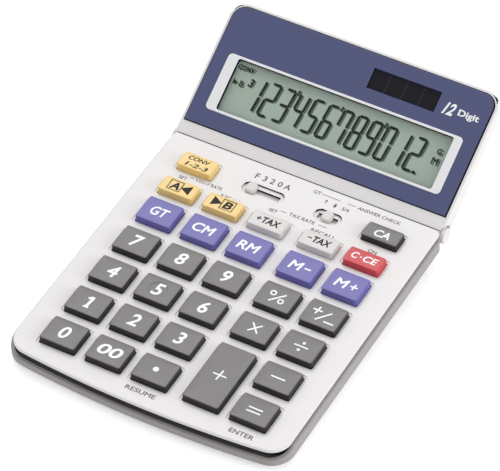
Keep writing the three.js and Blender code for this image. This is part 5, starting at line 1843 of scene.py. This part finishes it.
class CALCULATOR_OT_stage(bpy.types.Operator):
    """Set the floor, the soft light and the camera"""

    bl_idname = "calculator.stage"
    bl_label = "Stage"

    def execute(self, context):
        stage = context.scene.calculator_stage
        bpy.ops.object.select_all(action="DESELECT")
        bpy.ops.mesh.primitive_plane_add(size=FLOOR_SIZE)
        floor = context.object
        floor.name = "floor"
        pale = bpy.data.materials.new("pale floor")
        pale.use_nodes = True
        shader = pale.node_tree.nodes["Principled BSDF"]
        shader.inputs["Base Color"].default_value = FLOOR_COLOUR
        shader.inputs["Roughness"].default_value = FLOOR_ROUGHNESS
        shader.inputs["Emission Color"].default_value = WHITE
        glow = pale.node_tree.nodes.new("ShaderNodeMath")
        glow.operation = "MULTIPLY"
        glow.inputs[1].default_value = CAMERA_WHITE
        pale.node_tree.links.new(seen_directly(pale.node_tree), glow.inputs[0])
        pale.node_tree.links.new(glow.outputs[0], shader.inputs["Emission Strength"])
        paint(floor, pale)
        world = bpy.data.worlds.new("studio")
        context.scene.world = world
        world.use_nodes = True
        sky = world.node_tree.nodes["Background"]
        sky.inputs["Color"].default_value = WHITE
        sky.inputs["Strength"].default_value = stage.fill
        target = Vector(stage.target)
        area_light("softbox", stage.softbox, target, *SOFTBOX)
        area_light("side light", stage.side, target, *SIDE_LIGHT)
        turn = Matrix.Rotation(stage.azimuth, 3, "Z") @ Matrix.Rotation(-stage.elevation, 3, "X")
        back = turn @ Vector((0, -1, 0))
        bpy.ops.object.camera_add(location=target + stage.distance * back)
        camera = context.object
        camera.rotation_euler = (math.pi / 2 - stage.elevation, 0, stage.azimuth)
        camera.data.sensor_fit = "HORIZONTAL"
        camera.data.sensor_width = SENSOR_WIDTH
        camera.data.lens = stage.focal
        camera.data.clip_end = FARTHEST_SEEN
        context.scene.camera = camera
        context.scene.view_settings.view_transform = "Standard"
        return {"FINISHED"}


class CALCULATOR_PT_panel(bpy.types.Panel):
    """The calculator's sizes, colours and pieces"""

    bl_label = "Desktop calculator"
    bl_space_type = "VIEW_3D"
    bl_region_type = "UI"
    bl_category = "Calculator"

    def draw(self, context):
        for name, group in GROUPS.items():
            box = self.layout.box()
            box.label(text=group.__doc__)
            settings = getattr(context.scene, name)
            for prop in group.__annotations__:
                box.prop(settings, prop)
        for operator in OPERATORS:
            self.layout.operator(operator.bl_idname)


OPERATORS = (
    CALCULATOR_OT_stage,
    CALCULATOR_OT_hidden,
    CALCULATOR_OT_cover,
    CALCULATOR_OT_knobs,
    CALCULATOR_OT_case,
    CALCULATOR_OT_fasteners,
    CALCULATOR_OT_keys,
    CALCULATOR_OT_display,
)
CLASSES = (*GROUPS.values(), *OPERATORS, CALCULATOR_PT_panel)


def register():
    """Add the classes and their settings."""
    for item in CLASSES:
        bpy.utils.register_class(item)
    for name, group in GROUPS.items():
        setattr(bpy.types.Scene, name, bpy.props.PointerProperty(type=group))


def unregister():
    """Take the classes and their settings away."""
    for name in GROUPS:
        delattr(bpy.types.Scene, name)
    for item in reversed(CLASSES):
        bpy.utils.unregister_class(item)


def main():
    """Build every piece."""
    register()
    for operator in OPERATORS:
        getattr(bpy.ops.calculator, operator.bl_idname.split(".")[1])()


if __name__ == "__main__":
    main()
